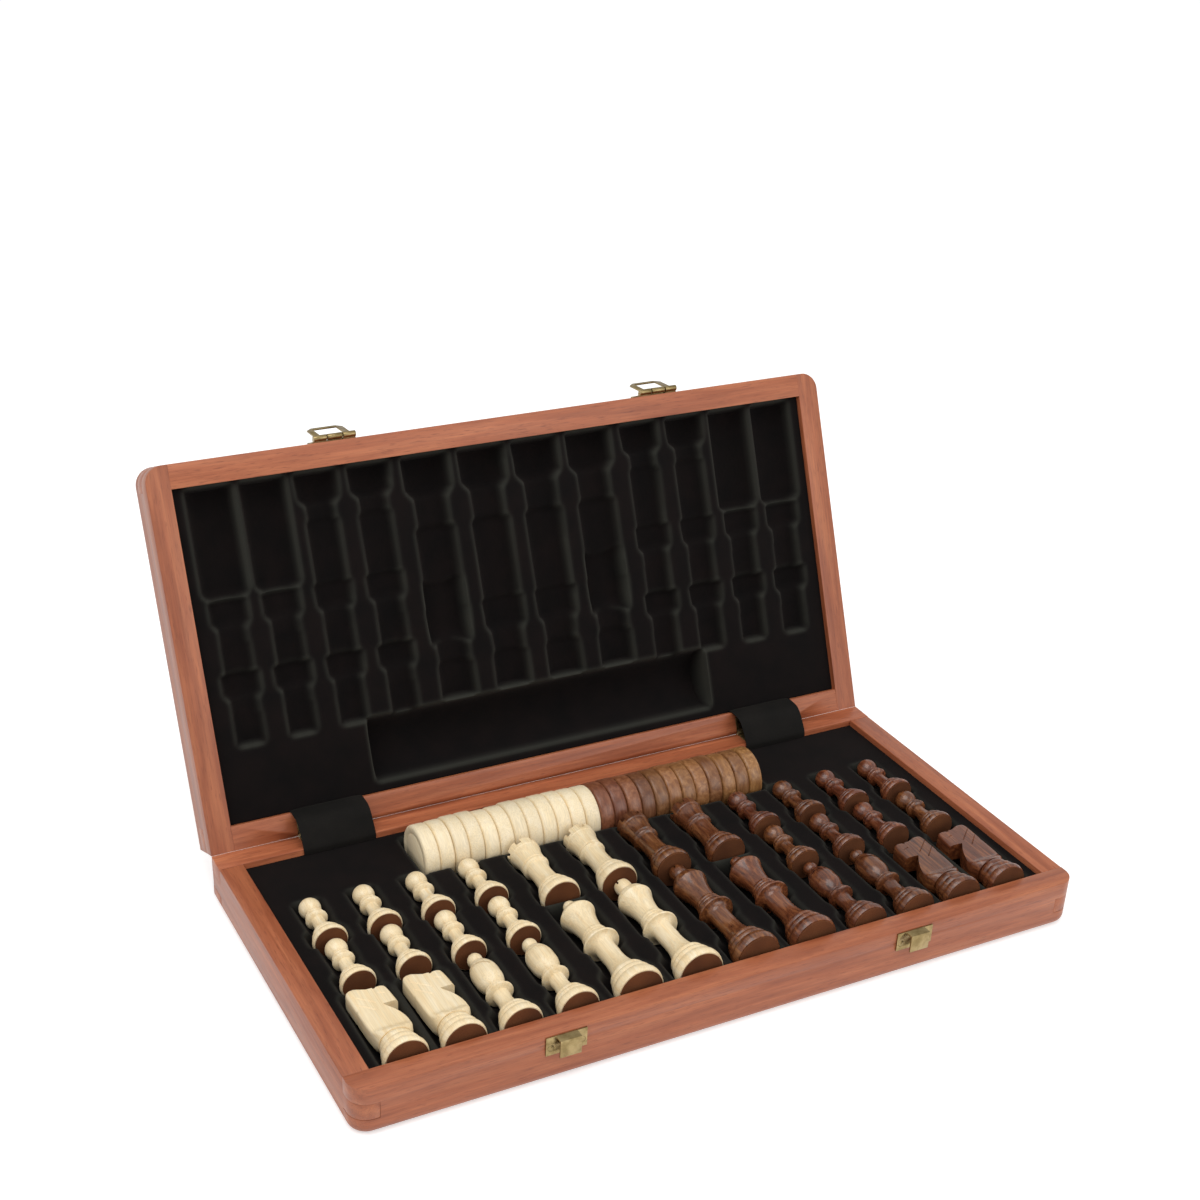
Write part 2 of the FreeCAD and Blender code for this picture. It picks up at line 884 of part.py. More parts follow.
WALL_FACE = f"-{HALF_DEPTH}"
CATCH_BOTTOM = "half_height - catch_drop - catch_height"


def plate_cutters(label, centre, height):
    """Screw holes and the sinks for the screw heads, through a plate on the front wall."""
    tools = []
    for step in ("-", "+"):
        x = f"{centre} {step} catch_width * 0.38"
        tag = "ab"[step == "+"]
        tools.append(
            rod(f"{label}_hole_{tag}", x, f"{WALL_FACE} - 2", height, "screw_shank_radius", "3", "Y")
        )
        tools.append(
            rod(
                f"{label}_sink_{tag}",
                x,
                f"{WALL_FACE} - sheet_thick - 1",
                height,
                "screw_head_radius + pin_clearance",
                "1 + screw_head_thick",
                "Y",
            )
        )
    return fuse(f"{label}_tools", tools)


def catches():
    """The two catch plates of the base, each with a tab bent over and down."""
    plates = []
    for side, sign in SIDES:
        centre = f"{sign}latch_centre"
        plate = box(
            f"catch_{side}_plate",
            f"{centre} - catch_width / 2",
            f"{WALL_FACE} - sheet_thick",
            CATCH_BOTTOM,
            "catch_width",
            "sheet_thick",
            "catch_height",
        )
        arm = box(
            f"catch_{side}_arm",
            f"{centre} - tab_width / 2",
            f"{WALL_FACE} - tab_reach",
            "half_height - catch_drop - sheet_thick",
            "tab_width",
            "tab_reach",
            "sheet_thick",
        )
        tongue = box(
            f"catch_{side}_tongue",
            f"{centre} - tab_width / 2",
            f"{WALL_FACE} - tab_reach",
            f"{CATCH_BOTTOM} + catch_drop",
            "tab_width",
            "sheet_thick",
            "catch_height - catch_drop",
        )
        solid = fuse(f"catch_{side}_solid", [plate, arm, tongue])
        tools = plate_cutters(f"catch_{side}", centre, "catch_screw_height")
        plates.append(cut(f"catch_{side}", solid, tools))
    return plates


HASP_AXIS_Y = f"{WALL_FACE} - hasp_pin_out"
HASP_AXIS_Z = "half_height + 2 * rim_gap + hasp_pin_rise"
HASP_PLATE_BOTTOM = f"{HASP_AXIS_Z} + hasp_knuckle_radius + knuckle_gap"
HASP_KNUCKLE = "hasp_width / 5"


def hasp_rod(label, centre, start, length, radius):
    return rod(label, f"{centre} + {start}", HASP_AXIS_Y, HASP_AXIS_Z, radius, length, "X")


def hasp_plates():
    """The lid's two hasp plates with their knuckles and pins, with the lid closed."""
    plates = []
    screw_height = f"2 * ({AXIS_Z}) - hasp_screw_height"
    for side, sign in SIDES:
        centre = f"{sign}latch_centre"
        name = f"hasp_plate_{side}"
        half = "hasp_plate_width / 2"
        members = [
            box(
                f"{name}_sheet",
                f"{centre} - {half}",
                f"{WALL_FACE} - sheet_thick",
                HASP_PLATE_BOTTOM,
                "hasp_plate_width",
                "sheet_thick",
                "hasp_plate_rise",
            )
        ]
        width = f"{half} - {HASP_KNUCKLE} - 2 * knuckle_gap"
        for tag, start in (("a", f"-({half})"), ("b", f"{HASP_KNUCKLE} + 2 * knuckle_gap")):
            members.append(hasp_rod(f"{name}_knuckle_{tag}", centre, start, width, "hasp_knuckle_radius"))
            members.append(
                box(
                    f"{name}_web_{tag}",
                    f"{centre} + {start}",
                    HASP_AXIS_Y,
                    HASP_AXIS_Z,
                    width,
                    "hasp_pin_out",
                    "hasp_knuckle_radius + 2 * knuckle_gap",
                )
            )
        bore = hasp_rod(
            f"{name}_bore", centre, f"-({half}) - 1", "hasp_plate_width + 2", "hasp_pin_radius + pin_clearance"
        )
        holes = plate_cutters(name, centre, screw_height)
        plates.append(cut(name, fuse(f"{name}_solid", members), fuse(f"{name}_cuts", [bore, holes])))
        plates.append(
            hasp_rod(f"{name}_pin", centre, f"-({half})", "hasp_plate_width", "hasp_pin_radius")
        )
    return plates


def hasp_leaf():
    """A hasp leaf that hangs down from its own axis, with the window that drops over the tab."""
    body = doc.addObject("PartDesign::Body", "hasp_sheet")
    sketch = new_sketch(body, "hasp_outline", "XZ_Plane")
    neck, half = HASP_KNUCKLE, "hasp_width / 2"
    side = [
        (neck, "0"),
        (neck, "-hasp_shoulder"),
        (half, "-hasp_shoulder"),
        (half, "-hasp_reach + hasp_chamfer"),
        (f"{half} - hasp_chamfer", "-hasp_reach"),
    ]
    outline(sketch, side + [(f"-({x})", z) for x, z in reversed(side)])
    pad = body.newObject("PartDesign::Pad", "hasp_pad")
    pad.Profile = sketch
    pad.Midplane = True
    bind(pad, Length="sheet_thick")
    barrel = rod("hasp_barrel", f"-({neck})", "0", "0", "hasp_knuckle_radius", f"2 * ({neck})", "X")
    bore = rod("hasp_bore", "-hasp_width", "0", "0", "hasp_pin_radius + pin_clearance", "2 * hasp_width", "X")
    window = box(
        "hasp_window",
        "-window_width / 2",
        "-sheet_thick",
        "-window_far",
        "window_width",
        "2 * sheet_thick",
        "window_far - window_near",
    )
    return cut("hasp_leaf", fuse("hasp_solid", [body, barrel]), fuse("hasp_tools", [bore, window]))


def place_hasp(label, leaf, sign):
    """The hasp folded back on the open lid."""
    hasp = group(label, [leaf])
    hasp.Placement = Placement(Vector(), Rotation(Vector(-1, 0, 0), 90))
    hasp.setExpression("Placement.Rotation.Angle", bound("lid_open_angle + hasp_open_angle"))
    y, z = lid_point(f"{HASP_AXIS_Y} - ({AXIS_Y})", f"{HASP_AXIS_Z} - ({AXIS_Z})")
    bind(hasp, Placement__Base__x=f"{sign}latch_centre", Placement__Base__y=y, Placement__Base__z=z)
    return hasp


# ---------------------------------------------------------------- screws


def screw(label, x, y, z, axis):
    """A screw whose head ends at a point, pointing into the wood along one axis of the frame."""
    shank = "screw_shank_radius - pin_clearance"
    if axis == "Y":
        head = rod(f"{label}_head", x, y, z, "screw_head_radius", "screw_head_thick", "Y")
        stem = rod(f"{label}_stem", x, y, z, shank, "screw_length", "Y")
    else:
        head = rod(f"{label}_head", x, y, f"{z} - screw_head_thick", "screw_head_radius", "screw_head_thick")
        stem = rod(f"{label}_stem", x, y, f"{z} - screw_length", shank, "screw_length")
    return fuse(label, [head, stem])


def screw_set(label, height):
    """The leaf screws and the latch screws of one half, in the half's own frame."""
    screws = [
        screw(f"{label}_leaf_{i}", x, y, "half_height", "Z") for i, (x, y) in enumerate(LEAF_SCREWS)
    ]
    for side, sign in SIDES:
        for step in ("-", "+"):
            x = f"{sign}latch_centre {step} catch_width * 0.38"
            name = f"{label}_latch_{side}_{'ab'[step == '+']}"
            screws.append(screw(name, x, f"{WALL_FACE} - sheet_thick", height, "Y"))
    return screws


# ---------------------------------------------------------------- chessmen, standing on Z


def base_outline(base, foot, shoulder, height, neck):
    """The foot and shoulder that all the turned men share."""
    return [
        ("0", "felt_thick"),
        (base, "felt_thick"),
        (base, foot),
        (f"{shoulder} + 0.8", f"{foot} + 0.8"),
        (shoulder, f"{height} - 2"),
        (f"{neck} + 1", f"{height} + 1"),
    ]


ROYAL_BASE = base_outline(
    "royal_base_radius", "royal_foot", "royal_shoulder_radius", "royal_shoulder_height", "royal_neck_radius"
) + [
    ("royal_neck_radius", "royal_collar_height - 3"),
    ("royal_collar_radius", "royal_collar_height"),
    ("royal_collar_radius", "royal_collar_height + royal_collar_thick"),
    ("royal_waist_radius - 0.6", "royal_collar_height + royal_collar_thick + 1"),
    ("royal_ring_radius", "royal_ring_height"),
    ("royal_ring_radius", "royal_ring_height + 1.5"),
    ("royal_waist_radius - 0.4", "royal_waist_height - 2"),
    ("royal_waist_radius", "royal_waist_height"),
]


def pawn_body():
    points = base_outline(
        "pawn_base_radius", "pawn_foot", "pawn_shoulder_radius", "pawn_shoulder_height", "pawn_neck_radius"
    ) + [
        ("pawn_neck_radius", "pawn_collar_height - 0.5"),
        ("pawn_collar_radius", "pawn_collar_height + 0.8"),
        ("pawn_collar_radius", "pawn_collar_height + pawn_collar_thick - 0.8"),
        ("pawn_neck_radius", "0"),
    ]
    return turned("pawn", points, ("pawn_height - pawn_ball_radius", "pawn_ball_radius"))


def bishop_body():
    points = base_outline(
        "bishop_base_radius",
        "bishop_foot",
        "bishop_shoulder_radius",
        "bishop_shoulder_height",
        "bishop_neck_radius",
    ) + [
        ("bishop_neck_radius", "bishop_collar_height - 2"),
        ("bishop_collar_radius", "bishop_collar_height"),
        ("bishop_collar_radius", "bishop_collar_height + bishop_collar_thick"),
        ("bishop_neck_radius + 0.4", "bishop_collar_height + bishop_collar_thick + 1"),
        ("bishop_head_radius * 0.78", "bishop_head_height - 8"),
        ("bishop_head_radius", "bishop_head_height - 1"),
        ("bishop_head_radius * 0.75", "bishop_head_height + 4"),
        ("bishop_tip_radius * 0.6", "0"),
    ]
    return turned("bishop", points, ("bishop_height - bishop_tip_radius", "bishop_tip_radius"))


def queen_body():
    points = ROYAL_BASE + [
        ("queen_crown_radius", "queen_crown_height"),
        ("queen_crown_radius * 0.7", "queen_crown_height + 1.6"),
        ("queen_tip_radius * 0.6", "0"),
    ]
    return turned("queen", points, ("queen_height - queen_tip_radius", "queen_tip_radius"))


def slots(body, name, width, depth, top, count, spread):
    """Cross slots cut down from the top of a turned body."""
    sketch = new_sketch(body, f"{name}_slot", "XZ_Plane")
    outline(
        sketch,
        [
            (f"-({width}) / 2", f"{top} - ({depth})"),
            (f"({width}) / 2", f"{top} - ({depth})"),
            (f"({width}) / 2", f"{top} + 1"),
            (f"-({width}) / 2", f"{top} + 1"),
        ],
    )
    pocket = body.newObject("PartDesign::Pocket", f"{name}_slot_cut")
    pocket.Profile = sketch
    pocket.Midplane = True
    bind(pocket, Length="royal_base_radius * 2")
    doc.recompute()
    pattern = body.newObject("PartDesign::PolarPattern", f"{name}_slots")
    pattern.Originals = [pocket]
    pattern.Axis = (body_plane(body, "Z_Axis"), [""])
    pattern.Angle = spread
    pattern.Occurrences = count
    body.Tip = pattern
    return body


def king_body():
    points = ROYAL_BASE + [
        ("king_crown_radius", "king_crown_height"),
        ("king_tip_radius", "king_height - king_tip_height - 2"),
        ("king_tip_radius * 0.8", "king_height - king_tip_height"),
        ("king_tip_radius", "king_height - king_tip_height + 1"),
        ("king_tip_radius", "king_height"),
        ("0", "king_height"),
    ]
    body = turned("king", points)
    return slots(body, "king", "king_notch", "king_tip_height / 2", "king_height", 2, 90.0)


def rook_body():
    points = base_outline(
        "rook_base_radius", "rook_foot", "rook_shoulder_radius", "rook_shoulder_height", "rook_waist_radius"
    ) + [
        ("rook_waist_radius", "rook_waist_height"),
        ("rook_ring_radius", "rook_ring_height"),
        ("rook_ring_radius", "rook_ring_height + 2"),
        ("rook_waist_radius + 0.7", "rook_ring_height + 3"),
        ("rook_top_radius", "rook_height - rook_well_depth - 3"),
        ("rook_top_radius", "rook_height"),
        ("rook_well_radius", "rook_height"),
        ("rook_well_radius", "rook_height - rook_well_depth"),
        ("0", "rook_height - rook_well_depth"),
    ]
    body = turned("rook", points)
    return slots(body, "rook", "rook_notch_width", "rook_well_depth - 0.5", "rook_height", 3, 360.0)


def knight_body():
    body = turned(
        "knight",
        [
            ("0", "felt_thick"),
            ("knight_base_radius", "felt_thick"),
            ("knight_base_radius", "knight_foot"),
            ("knight_neck_radius + 1", "knight_foot + 0.6"),
            ("knight_neck_radius + 1", "knight_foot + 4"),
            ("knight_neck_radius", "knight_foot + 4.6"),
            ("knight_neck_radius", "knight_neck_height"),
            ("0", "knight_neck_height"),
        ],
    )
    reach, top = "knight_head_reach", "knight_height"
    sketch = new_sketch(body, "knight_head_outline", "XZ_Plane")
    outline(
        sketch,
        [
            (f"-{reach} * 0.72", "knight_neck_height - 1"),
            (f"-{reach} * 0.84", f"{top} - 20"),
            (f"-{reach} * 0.9", f"{top} - 3"),
            (f"-{reach} * 0.7", top),
            (f"-{reach} * 0.36", f"{top} - 3"),
            (f"{reach} * 0.2", f"{top} - 1"),
            (reach, f"{top} - 3.5"),
            (reach, f"{top} - 15"),
            (f"{reach} * 0.78", f"{top} - 17.5"),
            (f"{reach} * 0.3", f"{top} - 14.5"),
            (f"{reach} * 0.68", f"{top} - 24"),
            (f"{reach} * 0.7", "knight_neck_height - 1"),
        ],
    )
    pad = body.newObject("PartDesign::Pad", "knight_head")
    pad.Profile = sketch
    pad.Midplane = True
    bind(pad, Length="knight_slab_thick")
    body.Tip = pad
    return body


def man(label, body, base, column, row, turned_round=False):
    """A man and its felt, laid down with its head toward the hinge side."""
    standing = Rotation(Vector(0, 0, 1), 180) if turned_round else Rotation()
    laid = group(label, [body, felts[base]])
    laid.Placement = Placement(Vector(), Rotation(Vector(1, 0, 0), -90) * standing)
    bind(laid, Placement__Base__x=column, Placement__Base__y=row, Placement__Base__z="axis_height")
    return laid


def disc_row(label, sign):
    """Twelve draughtsmen on edge, side by side from the middle of the case outward."""
    discs = []
    for index in range(int(SIZES["discs_per_side"])):
        step = f"{index} * disc_pitch"
        if sign == "-":
            step = f"-({index} + 1) * disc_pitch"
        discs.append(
            rod(
                f"{label}_{index}",
                f"{step} + (disc_pitch - disc_thick) / 2",
                "disc_row_back",
                "disc_axis_height",
                "disc_radius",
                "disc_thick",
                "X",
            )
        )
    return group(label, discs)


# ---------------------------------------------------------------- the assembly

tray = tray_shape()
halves = {"base": {}, "lid": {}}
screw_heights = {"base": "catch_screw_height", "lid": "hasp_screw_height"}
finger_levels = {"base": ((0, 2), (1,)), "lid": ((1,), (0, 2))}
OTHER_SIDE = {"left_rail": "right_rail", "right_rail": "left_rail"}

for half in halves:
    shapes = half_parts(half, *finger_levels[half], screw_heights[half])
    dark, light = veneers(half)
    shapes["dark_veneer"] = group(f"{half}_dark_pieces", dark)
    shapes["light_veneer"] = group(f"{half}_light_pieces", light)
    shapes["tray"] = tray if half == "base" else finger_pockets(tray)
    for name, shape in shapes.items():
        if half == "base":
            exports[f"base_{name}"] = group(f"base_{name}", [shape])
        else:
            placed = "lid_" + OTHER_SIDE.get(name, name)
            exports[placed] = in_lid(placed, [shape])

exports["base_hinge_leaves"] = group(
    "base_hinge_leaves", leaf_set("base_leaf", OUTER_SPANS, MIDDLE_SPAN, "half_height - leaf_thick")
)
exports["lid_hinge_leaves"] = in_lid(
    "lid_hinge_leaves", leaf_set("lid_leaf", MIDDLE_SPAN, OUTER_SPANS, "half_height - leaf_thick")
)
exports["hinge_pins"] = group("hinge_pins", hinge_pin_rods())
exports["hinge_straps"] = group("hinge_straps", strap_bodies())
exports["catch_plates"] = group("catch_plates", catches())
exports["hasp_plates"] = in_lid("hasp_plates", hasp_plates(), flipped=False)
exports["base_screws"] = group("base_screws", screw_set("base_screw", "catch_screw_height"))
exports["lid_screws"] = in_lid("lid_screws", screw_set("lid_screw", "hasp_screw_height"))
leaf = hasp_leaf()
for side, sign in SIDES:
    exports[f"{side}_hasp"] = place_hasp(f"{side}_hasp", leaf, sign)

felts = {}
for base in ("pawn", "rook", "bishop", "royal", "knight"):
    felts[base] = rod(f"felt_{base}", "0", "0", "0", f"{base}_base_radius - felt_inset", "felt_thick")
bodies = {
    "king": king_body(),
    "queen": queen_body(),
    "bishop": bishop_body(),
    "knight": knight_body(),
    "rook": rook_body(),
    "pawn": pawn_body(),
}

for tone, sign in (("light", "-"), ("dark", "")):
    round_about = tone == "dark"
    for kind in ("king", "queen"):
        column = f"{sign}{COLUMNS[kind]}"
        exports[f"{tone}_{kind}"] = man(f"{tone}_{kind}", bodies[kind], "royal", column, "row_front")
    for number, place in enumerate(("king", "queen"), start=1):
        name = f"{tone}_rook_{number}"
        exports[name] = man(name, bodies["rook"], "rook", f"{sign}{COLUMNS[place]}", "row_rooks")
    for kind in ("bishop", "knight"):
        for number, place in enumerate(("inner", "outer"), start=1):
            name = f"{tone}_{kind}_{number}"
            column = f"{sign}{COLUMNS[f'{place}_{kind}']}"
            facing = round_about and kind == "knight"
            exports[name] = man(name, bodies[kind], kind, column, "row_front", facing)
    number = 0
    for place in ("inner_bishop", "outer_bishop", "inner_knight", "outer_knight"):
        for row in PAWN_ROWS:
            number += 1
            name = f"{tone}_pawn_{number}"
            exports[name] = man(name, bodies["pawn"], "pawn", f"{sign}{COLUMNS[place]}", row)
    exports[f"{tone}_checkers"] = disc_row(f"{tone}_checkers", sign)

doc.recompute()

for thing in doc.Objects:
    if "Invalid" in thing.State or "Error" in thing.State:
        raise RuntimeError(f"{thing.Label} did not build: {thing.State}")
for label, thing in exports.items():
    if thing.Label != label or thing.Shape.isNull() or not thing.Shape.isValid():
        raise RuntimeError(f"{label} has no valid shape")

os.makedirs("parts", exist_ok=True)
for label, thing in exports.items():
    thing.Shape.exportStep(f"parts/{label}.step")
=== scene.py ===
"""Looks of a folding chess and draughts case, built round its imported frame."""

import json
import logging
import math
import random
from dataclasses import dataclass, field
from enum import Enum
from itertools import product
from typing import Callable, Optional

import bmesh
import bpy
import numpy as np
from mathutils import Matrix, Vector


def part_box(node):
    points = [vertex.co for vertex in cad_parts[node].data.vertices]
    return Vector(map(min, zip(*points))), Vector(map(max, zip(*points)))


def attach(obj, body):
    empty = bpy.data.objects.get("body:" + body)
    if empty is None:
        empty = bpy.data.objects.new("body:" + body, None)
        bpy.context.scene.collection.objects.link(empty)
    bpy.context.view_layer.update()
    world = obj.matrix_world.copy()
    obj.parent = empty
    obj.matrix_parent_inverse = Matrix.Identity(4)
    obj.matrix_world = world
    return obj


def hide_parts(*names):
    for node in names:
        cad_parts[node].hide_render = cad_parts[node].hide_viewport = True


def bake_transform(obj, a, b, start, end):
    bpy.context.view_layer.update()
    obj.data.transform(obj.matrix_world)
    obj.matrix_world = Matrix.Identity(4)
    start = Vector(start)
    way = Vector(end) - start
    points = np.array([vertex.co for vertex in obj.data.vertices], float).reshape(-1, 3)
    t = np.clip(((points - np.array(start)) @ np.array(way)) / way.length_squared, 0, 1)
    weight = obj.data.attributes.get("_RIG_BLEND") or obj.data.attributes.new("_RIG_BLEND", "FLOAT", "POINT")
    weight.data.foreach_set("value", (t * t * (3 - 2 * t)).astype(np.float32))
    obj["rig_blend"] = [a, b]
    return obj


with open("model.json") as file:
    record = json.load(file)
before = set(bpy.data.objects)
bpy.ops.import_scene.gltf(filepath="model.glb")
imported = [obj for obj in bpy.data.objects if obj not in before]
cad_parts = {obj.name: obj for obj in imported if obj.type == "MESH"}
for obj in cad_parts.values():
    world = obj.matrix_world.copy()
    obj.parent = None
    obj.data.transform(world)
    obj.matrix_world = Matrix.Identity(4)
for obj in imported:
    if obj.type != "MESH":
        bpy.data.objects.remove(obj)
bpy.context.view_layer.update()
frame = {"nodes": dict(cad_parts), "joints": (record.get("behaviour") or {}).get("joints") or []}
MM = 0.001
LOG = logging.getLogger("chess_case")


def srgb(code: str) -> tuple[float, float, float, float]:
    """Turn an sRGB hex code into a linear colour.

    Args:
        code: six hex digits, with or without a leading hash.

    Returns:
        Linear red, green, blue and an alpha of one.
    """
    parts = [int(code.lstrip("#")[i : i + 2], 16) / 255 for i in (0, 2, 4)]
    linear = [c / 12.92 if c <= 0.04045 else ((c + 0.055) / 1.055) ** 2.4 for c in parts]
    return (*linear, 1.0)


def add_node(
    tree: bpy.types.NodeTree, kind: str, settings: Optional[dict] = None, links: Optional[dict] = None
) -> bpy.types.Node:
    """Add one shader node with its settings and incoming links.

    Args:
        tree: the node tree that gets the node.
        kind: the node's type name, without the ShaderNode that starts every one.
        settings: properties or input values by name or input number; "stops" fills a colour ramp.
        links: output sockets by the name or number of the input they feed.

    Returns:
        The new node.
    """
    node = tree.nodes.new("ShaderNode" + kind)
    for name, value in (settings or {}).items():
        if name == "stops":
            ramp = node.color_ramp
            while len(ramp.elements) < len(value):
                ramp.elements.new(0.5)
            for element, (place, colour) in zip(ramp.elements, value):
                element.position = place
                element.color = srgb(colour)
        elif isinstance(name, int) or name in node.inputs:
            node.inputs[name].default_value = value
        else:
            setattr(node, name, value)
    for name, socket in (links or {}).items():
        tree.links.new(socket, node.inputs[name])
    return node


def span(low: float, high: float, out_low: float, out_high: float) -> dict:
    """The settings of a node that maps one range to another."""
    return {"From Min": low, "From Max": high, "To Min": out_low, "To Max": out_high}


def new_material(name: str) -> tuple[bpy.types.Material, bpy.types.NodeTree, bpy.types.Node]:
    """Make an empty material with a Principled shader joined to its output.

    Args:
        name: the material's name.

    Returns:
        The material, its node tree and its Principled node.
    """
    material = bpy.data.materials.new(name)
    material.use_nodes = True
    tree = material.node_tree
    tree.nodes.clear()
    shader = add_node(tree, "BsdfPrincipled")
    add_node(tree, "OutputMaterial", links={"Surface": shader.outputs["BSDF"]})
    return material, tree, shader


class GrainFrom(Enum):
    """Where a wood finds the direction of its grain."""

    MESH = "grain_at"
    FRAME = "frame"


@dataclass(frozen=True)
class LacqueredWood:
    """Wood that was planed or turned, sanded along its grain and sprayed with a thin lacquer.

    The eye sees soft bands of lighter and darker wood, fine fibre lines, open pores drawn out along
    the grain, and a satin shine that breaks a little over the pores.
    """

    name: str
    dark: str
    middle: str
    light: str
    pore: str
    band_mm: float
    band_length_mm: float
    pore_mm: float = 0.5
    pore_length_mm: float = 5.0
    pore_amount: float = 0.5
    tone_spread: float = 0.2
    hue_spread: float = 0.0
    roughness: float = 0.38
    coat: float = 0.3
    coat_roughness: float = 0.18
    bump_mm: float = 0.05
    grain_from: GrainFrom = GrainFrom.MESH
    fibre_share: float = 0.16
    fibre_length_share: float = 0.45

    def material(self) -> bpy.types.Material:
        """Build the wood as a node material.

        Returns:
            The material, which reads each mesh's grain_at, tone and warmth.
        """
        material, tree, shader = new_material(self.name)
        if self.grain_from is GrainFrom.MESH:
            source = add_node(tree, "Attribute", {"attribute_name": "grain_at"}).outputs["Vector"]
        else:
            source = add_node(tree, "TexCoord").outputs["Object"]

        def stretched(width: float, length: float) -> bpy.types.NodeSocket:
            """Scale the grain frame so one unit is a width across and a length along."""
            scale = (1 / (width * MM), 1 / (width * MM), 1 / (length * MM))
            return add_node(tree, "Mapping", {"Scale": scale}, {"Vector": source}).outputs["Vector"]

        bands = add_node(
            tree,
            "TexNoise",
            {"Scale": 1.0, "Detail": 4.0, "Roughness": 0.55, "Distortion": 0.6},
            {"Vector": stretched(self.band_mm, self.band_length_mm)},
        )
        stops = [(0.30, self.dark), (0.5, self.middle), (0.70, self.light)]
        colour = add_node(tree, "ValToRGB", {"stops": stops}, {"Fac": bands.outputs["Fac"]})
        fine = stretched(self.band_mm * self.fibre_share, self.band_length_mm * self.fibre_length_share)
        settings = {"Scale": 1.0, "Detail": 2.0, "Roughness": 0.6}
        fibres = add_node(tree, "TexNoise", settings, {"Vector": fine}).outputs["Fac"]
        shade = add_node(tree, "MapRange", span(0.3, 0.7, 0.88, 1.1), {"Value": fibres})
        tone = add_node(tree, "Attribute", {"attribute_name": "tone"})
        value = add_node(
            tree,
            "Math",
            {"operation": "MULTIPLY_ADD", 1: self.tone_spread},
            {0: tone.outputs["Fac"], 2: shade.outputs["Result"]},
        )
        warmth = add_node(tree, "Attribute", {"attribute_name": "warmth"})
        settings = {"operation": "MULTIPLY_ADD", 1: self.hue_spread, 2: 0.5}
        hue = add_node(tree, "Math", settings, {0: warmth.outputs["Fac"]})
        sources = {"Color": colour.outputs["Color"], "Value": value.outputs["Value"]}
        toned = add_node(tree, "HueSaturation", links={**sources, "Hue": hue.outputs["Value"]})
        drawn_out = {"Vector": stretched(self.pore_mm, self.pore_length_mm)}
        pores = add_node(tree, "TexNoise", {"Scale": 1.0, "Detail": 1.0}, drawn_out)
        settings = span(0.60, 0.72, 0.0, self.pore_amount)
        pore = add_node(tree, "MapRange", settings, {"Value": pores.outputs["Fac"]}).outputs["Result"]
        mixed = add_node(
            tree,
            "Mix",
            {"data_type": "RGBA", 7: srgb(self.pore)},
            {0: pore, 6: toned.outputs["Color"]},
        )
        settings = span(0.3, 0.7, self.roughness - 0.05, self.roughness + 0.07)
        gloss = add_node(tree, "MapRange", settings, {"Value": fibres})
        height = add_node(tree, "Math", {"operation": "MULTIPLY_ADD", 1: -1.0}, {0: pore, 2: fibres})
        settings = {"Strength": 0.5, "Distance": self.bump_mm * MM}
        bump = add_node(tree, "Bump", settings, {"Height": height.outputs["Value"]})
        tree.links.new(mixed.outputs[2], shader.inputs["Base Color"])
        tree.links.new(gloss.outputs["Result"], shader.inputs["Roughness"])
        tree.links.new(bump.outputs["Normal"], shader.inputs["Normal"])
        shader.inputs["Coat Weight"].default_value = self.coat
        shader.inputs["Coat Roughness"].default_value = self.coat_roughness
        return material


@dataclass(frozen=True)
class SoftPile:
    """Short fibres on a backing: flock, felt or pressed leather board, cut or sprayed to one height.

    The eye sees a matt, deep colour that turns paler where the fibres are seen end to end at a rim; that
    sheen is painted as a paler grey along the mesh's ridges.
    """

    name: str
    deep: str
    raised: str
    fibre_mm: float
    sheen: float
    sheen_colour: str
    bump_mm: float = 0.12
    roughness: float = 0.95
    sheen_roughness: float = 0.4
    # painted sheen: the pale grey mixed in along a mesh's ridges, and its share on the sharpest ridge
    painted_ridge_sheen: str = "45463F"
    painted_sheen_share: float = 0.6
    cloud_fibres: float = 40.0

    def material(self) -> bpy.types.Material:
        """Build the pile as a node material.

        Returns:
            The material, which reads a mesh's ridge where it has one and paints a sheen there.
        """
        material, tree, shader = new_material(self.name)
        place = {"Vector": add_node(tree, "TexCoord").outputs["Object"]}
        settings = {"Scale": 1 / (self.fibre_mm * MM), "Detail": 3.0, "Roughness": 0.7}
        fibres = add_node(tree, "TexNoise", settings, place).outputs["Fac"]
        settings = {"Scale": 1 / (self.fibre_mm * self.cloud_fibres * MM), "Detail": 2.0}
        cloud = add_node(tree, "TexNoise", settings, place)
        blend = add_node(tree, "Math", {"operation": "MULTIPLY"}, {0: fibres, 1: cloud.outputs["Fac"]})
        stops = {"stops": [(0.12, self.deep), (0.42, self.raised)]}
        colour = add_node(tree, "ValToRGB", stops, {"Fac": blend.outputs["Value"]})
        settings = {"Strength": 0.6, "Distance": self.bump_mm * MM}
        bump = add_node(tree, "Bump", settings, {"Height": fibres})
        # painted sheen: the ridge mask mixes a pale grey into the colour, standing in for light caught by
        # the fibre ends
        ridge = add_node(tree, "Attribute", {"attribute_name": "ridge"})
        settings = {"operation": "MULTIPLY", 1: self.painted_sheen_share}
        share = add_node(tree, "Math", settings, {0: ridge.outputs["Fac"]})
        sheen_painted = add_node(
            tree,
            "Mix",
            {"data_type": "RGBA", 7: srgb(self.painted_ridge_sheen)},
            {0: share.outputs["Value"], 6: colour.outputs["Color"]},
        )
        tree.links.new(sheen_painted.outputs[2], shader.inputs["Base Color"])
        tree.links.new(bump.outputs["Normal"], shader.inputs["Normal"])
        shader.inputs["Roughness"].default_value = self.roughness
        shader.inputs["Sheen Weight"].default_value = self.sheen
        shader.inputs["Sheen Roughness"].default_value = self.sheen_roughness
        shader.inputs["Sheen Tint"].default_value = srgb(self.sheen_colour)
        shader.inputs["Specular IOR Level"].default_value = 0.2
        return material


